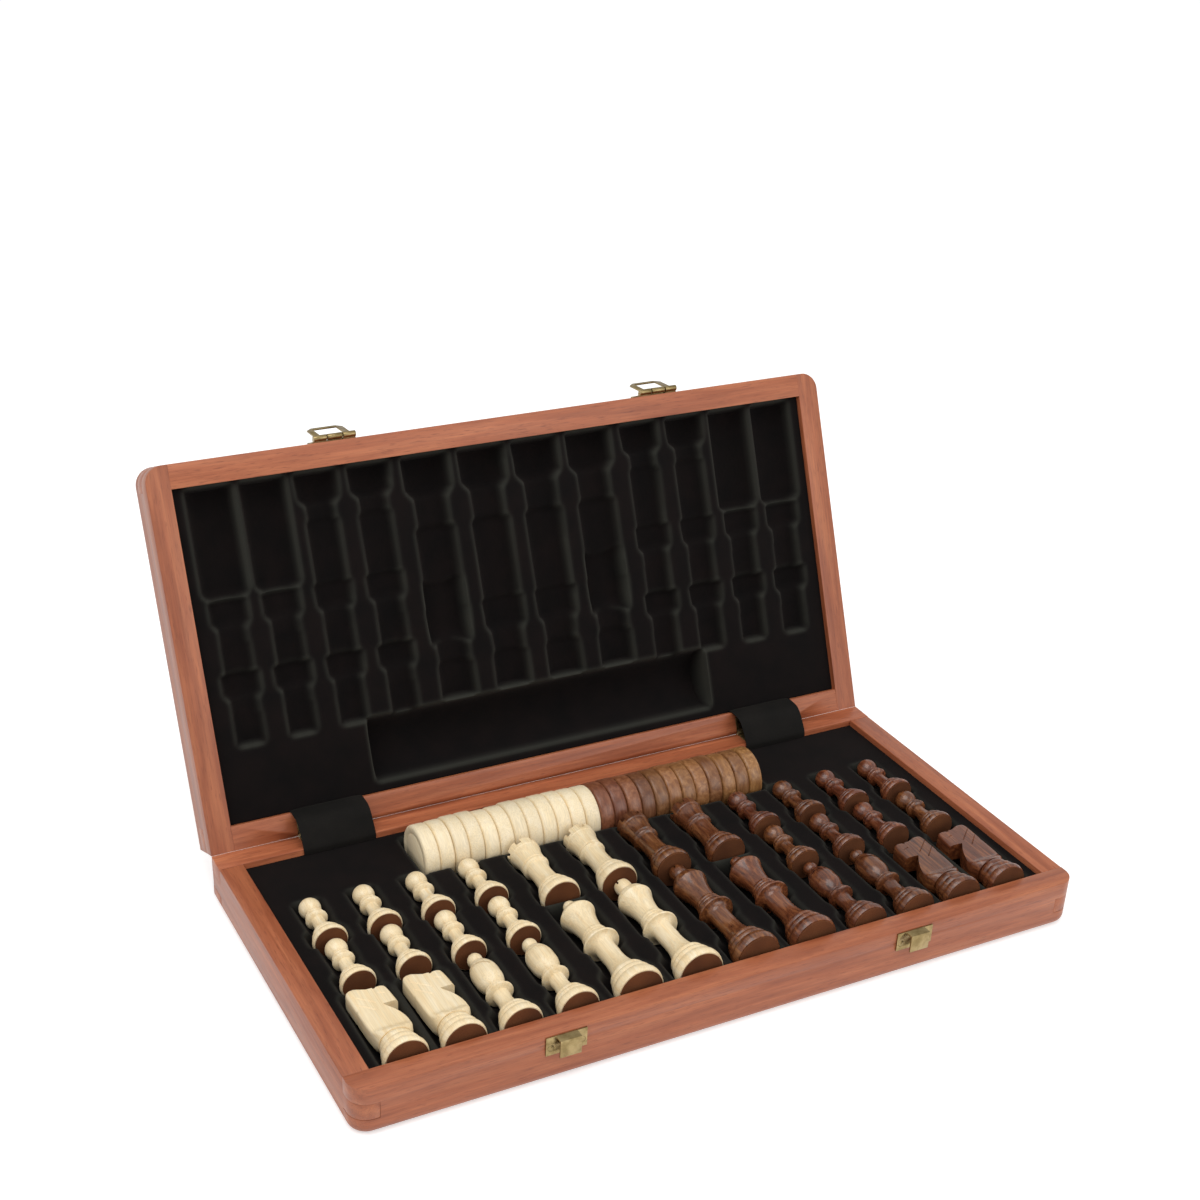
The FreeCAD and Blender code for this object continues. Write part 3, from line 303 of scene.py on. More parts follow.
@dataclass(frozen=True)
class AgedBrass:
    """Sheet brass, stamped, dipped dark and rubbed back.

    The eye sees an olive-gold metal with brown clouds left in the hollows and a soft, broken shine.
    """

    name: str = "stamped_brass_aged"
    rubbed: str = "A89469"
    stained: str = "8A774F"
    cloud_mm: float = 6.0
    scratch_mm: float = 0.25
    scratch_depth_mm: float = 0.015
    roughness: float = 0.34

    def material(self) -> bpy.types.Material:
        """Build the brass as a node material.

        Returns:
            The material.
        """
        material, tree, shader = new_material(self.name)
        place = {"Vector": add_node(tree, "TexCoord").outputs["Object"]}
        settings = {"Scale": 1 / (self.cloud_mm * MM), "Detail": 5.0, "Roughness": 0.65}
        cloud = add_node(tree, "TexNoise", settings, place).outputs["Fac"]
        stops = {"stops": [(0.38, self.stained), (0.6, self.rubbed)]}
        colour = add_node(tree, "ValToRGB", stops, {"Fac": cloud})
        settings = span(0.3, 0.7, self.roughness + 0.10, self.roughness - 0.06)
        gloss = add_node(tree, "MapRange", settings, {"Value": cloud})
        settings = {"Scale": 1 / (self.scratch_mm * MM), "Detail": 2.0}
        fine = add_node(tree, "TexNoise", settings, place)
        settings = {"Strength": 0.2, "Distance": self.scratch_depth_mm * MM}
        bump = add_node(tree, "Bump", settings, {"Height": fine.outputs["Fac"]})
        tree.links.new(colour.outputs["Color"], shader.inputs["Base Color"])
        tree.links.new(gloss.outputs["Result"], shader.inputs["Roughness"])
        tree.links.new(bump.outputs["Normal"], shader.inputs["Normal"])
        shader.inputs["Metallic"].default_value = 1.0
        return material


class Finish(Enum):
    """Every finish of the set."""

    # Sapele planks, planed and lacquered: red-brown with long pores and a soft ribbon.
    RAIL = LacqueredWood(
        "sapele_planed_lacquered", "954F30", "A85F3D", "B96F49", "6E3420", 5.0, 70.0, 0.45, 6.0,
        pore_amount=0.5, tone_spread=0.12, roughness=0.44, coat=0.14, coat_roughness=0.3,
    )
    # Sapele veneer, sliced and sanded: darker, with short bright and dark flecks.
    DARK_VENEER = LacqueredWood(
        "sapele_veneer_sanded", "783E20", "8C4C2A", "9D5E37", "4E2412", 2.2, 26.0, 0.4, 2.6,
        pore_amount=0.7, tone_spread=0.12,
    )
    # Maple veneer, sliced and sanded: cream with a faint silky figure.
    LIGHT_VENEER = LacqueredWood(
        "maple_veneer_sanded", "E2BE8B", "ECCC9B", "F3D8AC", "CDA06A", 4.0, 30.0, 0.5, 3.0,
        pore_amount=0.25, tone_spread=0.06,
    )
    # Plain poplar panel, planed and left bare inside the case: pale brown and matt.
    PANEL = LacqueredWood(
        "poplar_panel_bare", "B08A5E", "C29C6E", "CFAC80", "94703F", 6.0, 80.0,
        coat=0.0, roughness=0.6, grain_from=GrainFrom.FRAME,
    )
    # Boxwood, turned and waxed: pale straw with faint fibres.
    LIGHT_MEN = LacqueredWood(
        "boxwood_turned_waxed", "EDD2A3", "F3DDB3", "F7E6C4", "DCBB84", 2.6, 34.0, 0.35, 4.0,
        pore_amount=0.1, tone_spread=0.05, roughness=0.42, coat=0.2, bump_mm=0.02,
    )
    # Rosewood, turned and polished: red-brown with dark streaks and bright window glints.
    DARK_MEN = LacqueredWood(
        "rosewood_turned_polished", "45200F", "6A3920", "8B5531", "29120A", 1.6, 24.0, 0.3, 3.4,
        pore_amount=0.6, tone_spread=0.16, hue_spread=0.007, roughness=0.3, coat=0.5,
        coat_roughness=0.12, bump_mm=0.03,
    )
    # Boxwood slices, turned and sanded: pale and even, with hardly a fibre.
    LIGHT_DISCS = LacqueredWood(
        "boxwood_sliced_sanded", "F2DEB6", "F4E2BE", "F7E7C7", "E8CFA0", 3.0, 30.0, 0.35, 3.5,
        pore_amount=0.06, tone_spread=0.06, roughness=0.45, coat=0.15, bump_mm=0.02,
    )
    # Mixed rosewood slices, turned and sanded: each one has its own brown.
    DARK_DISCS = LacqueredWood(
        "rosewood_sliced_sanded", "704427", "875834", "A0704A", "4A2A16", 2.0, 14.0, 0.35, 2.2,
        pore_amount=0.5, tone_spread=0.30, hue_spread=0.018, roughness=0.4, coat=0.25, bump_mm=0.03,
    )
    # Rayon flock sprayed on a formed sheet: black, with a grey sheen painted along the ridges.
    FLOCK = SoftPile("rayon_flock_black", "040202", "100807", 0.35, 0.14, "7C7068")
    # Leatherette, coated and finely embossed: matt black with a fine pebble.
    STRAP = SoftPile("leatherette_embossed_black", "090806", "181512", 0.45, 0.10, "7A7468", 0.1, 0.85)
    # Leather board glued under the men: a flat, dull red-brown.
    BASE_DISC = SoftPile("leather_board_brown", "502E1B", "744629", 0.5, 0.05, "A08070", 0.08, 0.8)
    # Brass fittings, aged: see AgedBrass.
    BRASS = AgedBrass()


MATERIALS: dict[Finish, bpy.types.Material] = {}


def material_of(finish: Finish) -> bpy.types.Material:
    """The one material of a finish, made when first asked for.

    Args:
        finish: which finish.

    Returns:
        Its material.
    """
    if finish not in MATERIALS:
        MATERIALS[finish] = finish.value.material()
    return MATERIALS[finish]


def give_floats(mesh: bpy.types.Mesh, name: str, values: np.ndarray) -> None:
    """Store one number per vertex under a name."""
    mesh.attributes.new(name, "FLOAT", "POINT").data.foreach_set("value", values.astype(np.float32))


def give_grain(mesh: bpy.types.Mesh, coordinates: np.ndarray) -> None:
    """Store each vertex's place in the wood, with the third number along the grain."""
    attribute = mesh.attributes.new("grain_at", "FLOAT_VECTOR", "POINT")
    attribute.data.foreach_set("vector", coordinates.astype(np.float32).ravel())


def vertex_array(mesh: bpy.types.Mesh) -> np.ndarray:
    """Read all vertex places of a mesh.

    Args:
        mesh: the mesh.

    Returns:
        One row of three numbers for each vertex, in metres.
    """
    places = np.empty(len(mesh.vertices) * 3, np.float32)
    mesh.vertices.foreach_get("co", places)
    return places.reshape(-1, 3).astype(float)


def new_mesh(name: str, places_mm: list, faces: list) -> bpy.types.Mesh:
    """Make a mesh from places in millimetres.

    Args:
        name: the mesh's name.
        places_mm: the vertices.
        faces: the faces, as vertex numbers.

    Returns:
        The mesh, in metres.
    """
    mesh = bpy.data.meshes.new(name)
    mesh.from_pydata([(x * MM, y * MM, z * MM) for x, y, z in places_mm], [], faces)
    return mesh


def rework(mesh: bpy.types.Mesh, *steps: Callable[[bmesh.types.BMesh], None]) -> None:
    """Run editing steps on a mesh.

    Args:
        mesh: the mesh.
        steps: what is done to it, in order.
    """
    work = bmesh.new()
    work.from_mesh(mesh)
    for step in steps:
        step(work)
    work.to_mesh(mesh)
    work.free()


def face_outward(work: bmesh.types.BMesh) -> None:
    """Turn every face to the outside."""
    bmesh.ops.recalc_face_normals(work, faces=work.faces)


def join_flats(work: bmesh.types.BMesh) -> None:
    """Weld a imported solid's triangles and join those that lie in one plane.

    Args:
        work: the solid.
    """
    bmesh.ops.remove_doubles(work, verts=work.verts, dist=1e-6)
    settings = {"angle_limit": math.radians(1.0), "delimit": {"NORMAL"}}
    bmesh.ops.dissolve_limit(work, verts=work.verts, edges=work.edges, **settings)


def wall_faces(rings: int, count: int, first: int = 0) -> list[tuple[int, ...]]:
    """List the faces between rings of vertices that follow one another.

    Args:
        rings: how many rings there are.
        count: how many vertices each has.
        first: the number of the first vertex.

    Returns:
        Four vertex numbers for each face, ring by ring.
    """
    faces = []
    for a in range(first, first + (rings - 1) * count, count):
        for i in range(count):
            j = (i + 1) % count
            faces.append((a + i, a + j, a + count + j, a + count + i))
    return faces


def closed_loft(name: str, rings: list[list], low: tuple, high: tuple) -> bpy.types.Mesh:
    """Close a stack of rings with a fan at each end.

    Args:
        name: the mesh's name.
        rings: the rings from the bottom up, in millimetres, all of one length.
        low: the middle of the bottom fan.
        high: the middle of the top fan.

    Returns:
        The mesh; its last faces are the fans', bottom and top in turn.
    """
    count = len(rings[0])
    places = [place for ring in rings for place in ring] + [low, high]
    faces = wall_faces(len(rings), count)
    bottom, top, last = len(places) - 2, len(places) - 1, (len(rings) - 1) * count
    for i in range(count):
        j = (i + 1) % count
        faces += [(bottom, j, i), (top, last + i, last + j)]
    return new_mesh(name, places, faces)


def put_in_scene(
    name: str, mesh: bpy.types.Mesh, matrix: Matrix = Matrix.Identity(4)
) -> bpy.types.Object:
    """Make an object of a mesh and link it.

    Args:
        name: the object's name.
        mesh: its mesh, in metres.
        matrix: where it stands in the row frame.

    Returns:
        The new object.
    """
    thing = bpy.data.objects.new(name, mesh)
    bpy.context.scene.collection.objects.link(thing)
    thing.matrix_world = matrix
    return thing


def smooth(mesh: bpy.types.Mesh, angle: float = 32.0) -> None:
    """Shade a mesh smooth, and leave edges sharper than an angle in degrees."""
    mesh.shade_smooth()
    mesh.set_sharp_from_angle(angle=math.radians(angle))


def install(thing: bpy.types.Object, body: str, node: str, finishes: list[Finish]) -> None:
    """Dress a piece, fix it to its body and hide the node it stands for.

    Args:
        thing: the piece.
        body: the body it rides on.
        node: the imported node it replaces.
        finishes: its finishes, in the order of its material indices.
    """
    for finish in finishes:
        thing.data.materials.append(material_of(finish))
    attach(thing, body)
    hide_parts(node)
    LOG.info("%s rides on %s, %d vertices", thing.name, body, len(thing.data.vertices))


def apply_modifiers(thing: bpy.types.Object) -> None:
    """Turn an object's modifiers into plain mesh.

    Args:
        thing: the object, whose old mesh is removed.
    """
    graph = bpy.context.evaluated_depsgraph_get()
    graph.update()
    mesh = bpy.data.meshes.new_from_object(thing.evaluated_get(graph))
    thing.modifiers.clear()
    old = thing.data
    thing.data = mesh
    bpy.data.meshes.remove(old)


def combine(thing: bpy.types.Object, tools: list[bpy.types.Object], operation: str) -> None:
    """Join other solids to an object, or cut them out of it, and remove them.

    Args:
        thing: the object that stays.
        tools: the other objects, in order.
        operation: UNION or DIFFERENCE.
    """
    for tool in tools:
        modifier = thing.modifiers.new("combine", "BOOLEAN")
        modifier.operation = operation
        modifier.solver = "EXACT"
        modifier.object = tool
    bpy.context.view_layer.update()
    apply_modifiers(thing)
    for tool in tools:
        bpy.data.objects.remove(tool)


def carve(thing: bpy.types.Object, tools: list[bpy.types.Mesh]) -> None:
    """Cut tool meshes, given in the object's own frame, out of an object."""
    cutters = [put_in_scene("cutter", tool, thing.matrix_world) for tool in tools]
    combine(thing, cutters, "DIFFERENCE")


def block_mesh(low: tuple, high: tuple, turn: Matrix = Matrix.Identity(4)) -> bpy.types.Mesh:
    """Make a box and turn it.

    Args:
        low: its lowest corner, in millimetres.
        high: its highest corner, in millimetres.
        turn: the turn given to it, in metres.

    Returns:
        The box.
    """
    corners = product(*zip(low, high))
    faces = [(0, 1, 3, 2), (4, 6, 7, 5), (0, 4, 5, 1), (2, 3, 7, 6), (0, 2, 6, 4), (1, 5, 7, 3)]
    mesh = bpy.data.meshes.new("block")
    mesh.from_pydata([turn @ (Vector(c) * MM) for c in corners], [], faces)
    return mesh


@dataclass
class LidFrame:
    """Where the open lid stands: a half drawn face down, turned over and swung about the hinge."""

    joint: dict = field(
        default_factory=lambda: next(j for j in frame["joints"] if j["name"] == "lid_hinge")
    )

    def closed_to_open(self) -> Matrix:
        """Find the swing from the closed lid to the lid at rest.

        Returns:
            The swing about the hinge.
        """
        centre = Vector(self.joint["pos_m"])
        angle = -math.radians(self.joint["range_deg"][0])
        swing = Matrix.Rotation(angle, 4, Vector((-1, 0, 0)))
        return Matrix.Translation(centre) @ swing @ Matrix.Translation(-centre)

    def half_to_open(self) -> Matrix:
        """Find the move from a half drawn on the floor to the lid at rest.

        Returns:
            The move.
        """
        rise = 2 * self.joint["pos_m"][2]
        turned_over = Matrix.Translation((0, 0, rise)) @ Matrix.Rotation(math.pi, 4, "Y")
        return self.closed_to_open() @ turned_over


class Half(Enum):
    """The two halves of the case."""

    BASE = "base"
    LID = "lid"

    def matrix(self) -> Matrix:
        """From a half drawn on the floor to where this half stands."""
        return Matrix.Identity(4) if self is Half.BASE else LidFrame().half_to_open()


@dataclass
class CaseRails:
    """The four rails of a half: finger-jointed sapele with softened edges."""

    half: Half
    edge_mm: float = 0.4
    hinge_edge_mm: float = 94.0
    hinge_lip_mm: float = 0.17
    # how far under the top an edge counts as the hinge's, and a corner as the lip's
    hinge_band_mm: float = 1.5
    lip_band_mm: float = 0.2
    # rails sawn from a plank of their own tone; the others draw theirs by lot
    tones: dict = field(
        default_factory=lambda: {"lid_left_rail": -0.8, "lid_right_rail": -0.5, "base_back_rail": 0.7}
    )

    def build(self) -> None:
        """Copy each rail's solid, soften its edges and lay its grain along it."""
        back = self.half.matrix().inverted()
        for side in ("front", "back", "left", "right"):
            node = f"{self.half.value}_{side}_rail"
            mesh = frame["nodes"][node].data.copy()
            mesh.materials.clear()
            mesh.transform(back)
            thing = put_in_scene(f"{node}_planed", mesh, self.half.matrix())
            rework(mesh, join_flats, self._soften)
            smooth(mesh, 40)
            chance = random.Random(node)
            places = vertex_array(mesh)
            order = [1, 2, 0] if side in ("front", "back") else [0, 2, 1]
            offset = np.array([chance.uniform(0, 9) for _ in range(3)])
            give_grain(mesh, places[:, order] + offset)
            level = self.tones.get(node, chance.uniform(-0.5, 0.5))
            give_floats(mesh, "tone", np.full(len(places), level))
            install(thing, self.half.value, node, [Finish.RAIL])

    def _soften(self, work: bmesh.types.BMesh) -> None:
        """Bevel a rail's edges, but for the hinge's, whose corner moves toward the pivot.

        Args:
            work: the rail, drawn as a half on the floor.
        """
        top = max(v.co.z for v in work.verts) - self.hinge_band_mm * MM
        hinge = self.hinge_edge_mm * MM
        for vertex in work.verts:
            if vertex.co.y > hinge and vertex.co.z > top + (self.hinge_band_mm - self.lip_band_mm) * MM:
                vertex.co += Vector((0, 1, 1)) * self.hinge_lip_mm * MM
        edges = [
            e
            for e in work.edges
            if e.calc_face_angle(0) > math.radians(40)
            and not all(v.co.y > hinge and v.co.z > top for v in e.verts)
        ]
        width = self.edge_mm * MM
        bmesh.ops.bevel(
            work, geom=edges, offset=width, segments=2, profile=0.5, affect="EDGES", clamp_overlap=True
        )


@dataclass
class BoardFace:
    """The veneered board face of a half: squares, stringing and a mitred border."""

    half: Half
    square_mm: float = 40.0
    stringing_mm: float = 3.0
    back_mm: float = 95.0
    edge_x_mm: float = 185.0
    edge_y_mm: float = -90.0
    thick_mm: float = 0.6

    def _tile(self, work: bmesh.types.BMesh, outline: list, order: list, chance: random.Random) -> None:
        """Add one piece of veneer to a mesh in progress.

        Args:
            work: the mesh.
            outline: the piece's corners, in millimetres.
            order: which of x, y and z the grain's three numbers are.
            chance: where its place in the wood and its tone are drawn from.
        """
        grain = work.verts.layers.float_vector["grain_at"]
        tone = work.verts.layers.float["tone"]
        offset = np.array([chance.uniform(0, 9) for _ in range(3)])
        level = chance.uniform(-1, 1)
        rings = []
        for z in (0.0, self.thick_mm):
            ring = []
            for x, y in outline:
                vertex = work.verts.new(Vector((x, y, z)) * MM)
                vertex[grain] = Vector((np.array([x, y, z]) * MM)[order] + offset)
                vertex[tone] = level
                ring.append(vertex)
            rings.append(ring)
        low, high = rings
        work.faces.new(low[::-1])
        work.faces.new(high)
        for i, corner in enumerate(low):
            j = (i + 1) % len(low)
            work.faces.new((corner, low[j], high[j], high[i]))

    def _pieces(self) -> tuple[list, list]:
        """Lay out the squares, the stringing and the mitred border.

        Returns:
            The outlines of the dark and of the light veneer, each with its grain order.
        """
        along_x, along_y = [1, 2, 0], [0, 2, 1]
        side, edge = self.square_mm, 4 * self.square_mm
        front = self.back_mm - edge
        dark, light = [], []
        for column in range(8):
            for line in range(4):
                x, y = (column - 4) * side, self.back_mm - (line + 1) * side
                square = [(x, y), (x + side, y), (x + side, y + side), (x, y + side)]
                (dark if (column + line) % 2 else light).append((square, along_x))
        string_x, string_y = edge + self.stringing_mm, front - self.stringing_mm
        frames = (
            (light, edge, front, string_x, string_y),
            (dark, string_x, string_y, self.edge_x_mm, self.edge_y_mm),
        )
        for pieces, inner_x, inner_y, outer_x, outer_y in frames:
            strip = [(-outer_x, outer_y), (outer_x, outer_y), (inner_x, inner_y), (-inner_x, inner_y)]
            pieces.append((strip, along_x))
            for sign in (-1, 1):
                outer, inner, back = sign * outer_x, sign * inner_x, self.back_mm
                strip = [(outer, outer_y), (outer, back), (inner, back), (inner, inner_y)]
                pieces.append((strip if sign < 0 else strip[::-1], along_y))
        return dark, light

    def build(self) -> None:
        """Build both veneers of the half."""
        finishes = (Finish.DARK_VENEER, Finish.LIGHT_VENEER)
        for tone, finish, pieces in zip(("dark", "light"), finishes, self._pieces()):
            node = f"{self.half.value}_{tone}_veneer"
            work = bmesh.new()
            work.verts.layers.float_vector.new("grain_at")
            work.verts.layers.float.new("tone")
            chance = random.Random(node)
            for outline, order in pieces:
                self._tile(work, outline, order, chance)
            face_outward(work)
            mesh = bpy.data.meshes.new(node)
            work.to_mesh(mesh)
            work.free()
            thing = put_in_scene(f"{node}_laid", mesh, self.half.matrix())
            install(thing, self.half.value, node, [finish])


@dataclass
class Rest:
    """Where one man or disc row lies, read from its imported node."""

    node: str

    def column(self) -> float:
        """The middle of the piece across the case, in millimetres."""
        low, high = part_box(self.node)
        return (low.x + high.x) / 2 / MM

    def start(self) -> float:
        """The end of the piece nearest the latches, in millimetres."""
        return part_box(self.node)[0].y / MM

    def matrix(self, turn: float = 0.0) -> Matrix:
        """Find the move from a man standing on the origin to the man lying in its place.

        Args:
            turn: how far the man is turned about its own axis first, in radians.

        Returns:
            The move.
        """
        low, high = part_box(self.node)
        place = Vector(((low.x + high.x) / 2, low.y, (low.z + high.z) / 2))
        laid = Matrix.Rotation(math.radians(-90), 4, "X")
        return Matrix.Translation(place) @ laid @ Matrix.Rotation(turn, 4, "Z")


class Turning:
    """The half outline of a turned piece, drawn from its foot upward in millimetres."""

    def __init__(self, radius: float, height: float) -> None:
        """Start the outline at a radius and a height."""
        self.points: list[tuple[float, float]] = [(radius, height)]

    def line(self, radius: float, height: float) -> "Turning":
        """Draw straight to a point."""
        self.points.append((radius, height))
        return self

    def arc(self, radius: float, height: float, swell: float, steps: int = 7) -> "Turning":
        """Draw a bow to a point.

        Args:
            radius: the point's distance from the axis.
            height: its level.
            swell: how far the bow stands out of the straight line.
            steps: how many short lines it has.

        Returns:
            The outline, so that calls can follow one another.
        """
        r0, h0 = self.points[-1]
        dr, dh = radius - r0, height - h0
        length = math.hypot(dr, dh)
        for i in range(1, steps + 1):
            t = i / steps
            out = 4 * swell * t * (1 - t)
            self.points.append((r0 + dr * t + dh / length * out, h0 + dh * t - dr / length * out))
        return self

    def ball(self, centre: float, radius: float, start: float, steps: int = 14) -> "Turning":
        """Draw a ball from a starting radius over its top.

        Args:
            centre: the level of its middle.
            radius: its radius.
            start: the distance from the axis at which it starts.
            steps: how many short lines it has.

        Returns:
            The outline, so that calls can follow one another.
        """
        first = -math.acos(start / radius)
        for i in range(steps + 1):
            a = first + (math.pi / 2 - first) * i / steps
            self.points.append((max(radius * math.cos(a), 0.0), centre + radius * math.sin(a)))
        return self

    def mesh(self, name: str, disc_radius: float, segments: int = 56) -> bpy.types.Mesh:
        """Turn the outline into a closed mesh with its base disc as the second material.

        Args:
            name: the mesh's name.
            disc_radius: the radius of the disc glued under the foot.
            segments: how many sides the turning has.

        Returns:
            The mesh, standing on the origin, in metres.
        """
        inner = [(disc_radius, 0.0), (disc_radius, self.points[0][1])]
        outline = inner + [p for p in self.points if p[0] > 1e-4]
        angles = np.arange(segments) * 2 * math.pi / segments
        rings = [[(r * math.cos(a), r * math.sin(a), h) for a in angles] for r, h in outline]
        mesh = closed_loft(name, rings, (0, 0, 0), (0, 0, self.points[-1][1]))
        walls = (len(outline) - 2) * segments
        mesh.polygons.foreach_set("material_index", [1] * segments + [0] * walls + [1, 0] * segments)
        return mesh


def slot_cutters(
    width: float, low: float, high: float, reach: float, turns: list[float]
) -> list[bpy.types.Mesh]:
    """Make slabs through the axis of a turned piece.

    Args:
        width: how thick a slab is.
        low: the level of its underside.
        high: the level of its top.
        reach: how far it goes out from the axis.
        turns: the turn of each slab, in degrees.

    Returns:
        The slabs.
    """
    corners = (-reach, -width / 2, low), (reach, width / 2, high)
    return [block_mesh(*corners, Matrix.Rotation(math.radians(a), 4, "Z")) for a in turns]


def slit_cutter(width: float, height: float, depth: float, slope: float) -> list[bpy.types.Mesh]:
    """A sloping saw cut into one side of a turned head.

    Args:
        width: how wide the saw cut is.
        height: the level at which the cut opens, on the side that lies uppermost.
        depth: how far the cut goes in from the axis's far side.
        slope: how steeply it runs down into the head, in degrees.

    Returns:
        The cutter, alone in a list.
    """
    turn = Matrix.Translation((0, 0, height * MM)) @ Matrix.Rotation(math.radians(slope), 4, "X")
    return [block_mesh((-10, -14, -width / 2), (10, depth, width / 2), turn)]


@dataclass
class Man:
    """A chessman: its outline and what is carved into it."""

    kind: str
    disc_mm: float
    outline: Callable[[], Turning]
    cutters: Callable[[], list] = list

    def build(self, tone: str, number: Optional[int]) -> None:
        """Build one man and lay it in its place.

        Args:
            tone: light or dark.
            number: which of its kind it is, or nothing for a king or queen.
        """
        node = f"{tone}_{self.kind}" + (f"_{number}" if number else "")
        chance = random.Random(node)
        if self.kind == "knight":
            turn = math.pi if tone == "dark" else 0.0
        elif self.kind == "bishop":
            turn = chance.uniform(-1.15, -0.65)
        else:
            turn = chance.uniform(0, 2 * math.pi)
        mesh = self.outline().mesh(node, self.disc_mm)
        thing = put_in_scene(f"{node}_turned", mesh, Rest(node).matrix(turn))
        if self.kind == "knight":
            KnightHead().join_to(thing)
        tools = self.cutters()
        if tools:
            carve(thing, tools)
        self.finish(thing, node, tone, chance)

    def finish(self, thing: bpy.types.Object, node: str, tone: str, chance: random.Random) -> None:
        """Give the man its grain and its finish.

        Args:
            thing: the man.
            node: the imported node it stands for.
            tone: light or dark.
            chance: where its place in the wood, its tone and its warmth are drawn from.
        """
        places = vertex_array(thing.data)
        give_grain(thing.data, places + np.array([chance.uniform(0, 9) for _ in range(3)]))
        for name in ("tone", "warmth"):
            give_floats(thing.data, name, np.full(len(places), chance.uniform(-1, 1)))
        smooth(thing.data)
        wood = Finish.DARK_MEN if tone == "dark" else Finish.LIGHT_MEN
        install(thing, node, node, [wood, Finish.BASE_DISC])


@dataclass
class KnightHead:
    """The sawn head of a knight: a slab that grows out of the turned neck."""

    neck_mm: float = 7.6
    groove_mm: float = 0.3
    neck_height_mm: float = 13.4
    slab_mm: float = 4.6
    top_mm: float = 49.5
    segments: int = 56
    layers: int = 44
    # the slab grows out of the neck over the first length, and its top closes over the second
    grow_mm: float = 6.5
    close_mm: float = 1.0
    # height, left edge and right edge of the slab
    sections: tuple = (
        *((13.4, -8.0, 8.2), (15.5, -8.3, 9.0), (18.0, -8.8, 9.7), (21.0, -9.2, 9.7)),
        *((25.0, -9.5, 9.5), (29.5, -9.6, 9.6), (33.2, -9.7, 9.8), (34.2, -9.4, 9.9)),
        *((35.2, -9.8, 9.8), (40.0, -10.0, 9.5), (44.0, -10.1, 9.2), (47.0, -10.1, 8.9)),
        *((48.6, -9.8, 8.6), (49.1, -9.3, 8.1), (49.5, -8.3, 7.2)),
    )

    def _crest(self, x: float) -> float:
        """Find how far the top dips below its highest level.

        Args:
            x: the place across the head.

        Returns:
            The drop there, in millimetres.
        """
        places = (-10.0, -8.0, -5.6, -3.6, -1.5, 0.6, 2.3, 3.5, 4.3, 6.0, 8.0, 9.5)
        drops = (0.9, 0.1, 0.0, 0.5, 1.5, 2.6, 3.1, 3.0, 2.1, 1.9, 2.2, 2.9)
        return float(np.interp(x, places, drops))

    def _head(self) -> bpy.types.Mesh:
        """Loft the head through its rounded sections.

        Returns:
            The head without its notches.
        """
        heights = np.linspace(self.neck_height_mm, self.top_mm, self.layers)
        table = np.array(self.sections)
        left = np.interp(heights, table[:, 0], table[:, 1])
        right = np.interp(heights, table[:, 0], table[:, 2])
        rings = []
        for h, a, b in zip(heights, left, right):
            fade = min(max((h - self.neck_height_mm) / self.grow_mm, 0.0), 1.0)
            fade = fade * fade * (3 - 2 * fade)
            close = min(max((self.top_mm - h) / self.close_mm, 0.0), 1.0)
            half = self.neck_mm + (self.slab_mm - self.neck_mm) * fade
            half *= 0.86 + 0.14 * math.sqrt(close)
            power = 2.0 / (2.0 + 5.0 * fade)
            rise = min(max((h - 40) / 9, 0.0), 1.0)
            ring = []
            for i in range(self.segments):
                angle = 2 * math.pi * i / self.segments
                c, s = math.cos(angle), math.sin(angle)
                x = (a + b) / 2 + (b - a) / 2 * math.copysign(abs(c) ** power, c)
                ring.append((x, half * math.copysign(abs(s) ** power, s), h - self._crest(x) * rise))
            rings.append(ring)
        return closed_loft("knight_head", rings, (0, 0, self.neck_height_mm), (0, 0, self.top_mm - 2.3))

    def _wedge(self, points: list[tuple[float, float]], reach: float = 7.0) -> bpy.types.Mesh:
        """Make a prism through the slab.

        Args:
            points: its outline seen from the side, as places across and heights.
            reach: how far it goes out to both sides.

        Returns:
            The prism.
        """
        places = [(x, y, h) for y in (-reach, reach) for x, h in points]
        count = len(points)
        faces = [tuple(reversed(range(count))), tuple(range(count, 2 * count))]
        mesh = new_mesh("wedge", places, faces + wall_faces(2, count))
        rework(mesh, face_outward)
        return mesh

    def _grooves(self) -> list[bpy.types.Mesh]:
        """Make the shallow strokes of the gouge on both flanks.

        Returns:
            The cutters.
        """
        strokes = (
            ((-8.6, 44.5), (0.2, 36.6)),
            ((-8.6, 38.5), (-1.4, 31.6)),
            ((3.2, 42.6), (6.4, 41.4)),
        )
        tools = []
        half = self.groove_mm
        for (x0, h0), (x1, h1) in strokes:
            length = math.hypot(x1 - x0, h1 - h0)
            slope = math.atan2(h0 - h1, x1 - x0)
            for side in (-1, 1):
                middle = Vector(((x0 + x1) / 2, side * self.slab_mm, (h0 + h1) / 2)) * MM
                turn = Matrix.Translation(middle) @ Matrix.Rotation(slope, 4, "Y") @ Matrix.Rotation(math.pi / 4, 4, "X")
                tools.append(block_mesh((-length / 2, -half, -half), (length / 2, half, half), turn))
        return tools

    def join_to(self, thing: bpy.types.Object) -> None:
        """Cut the head's notches and join it to the turned base.

        Args:
            thing: the turned base, which the head becomes part of.
        """
        head = put_in_scene("head", self._head(), thing.matrix_world)
        chest = [(13.0, 35.0), (2.6, 34.4), (4.2, 32.0), (5.9, 29.6), (7.5, 26.6), (8.7, 23.6)]
        chest += [(9.5, 20.6), (9.75, 18.6), (13.0, 18.6)]
        notches = (
            chest,
            [(1.9, 51.0), (2.3, 45.8), (3.7, 46.1), (4.0, 51.0)],
            [(-2.6, 51.0), (-1.6, 47.3), (-0.8, 51.0)],
        )
        carve(head, [self._wedge(notch) for notch in notches] + self._grooves())
        combine(thing, [head], "UNION")


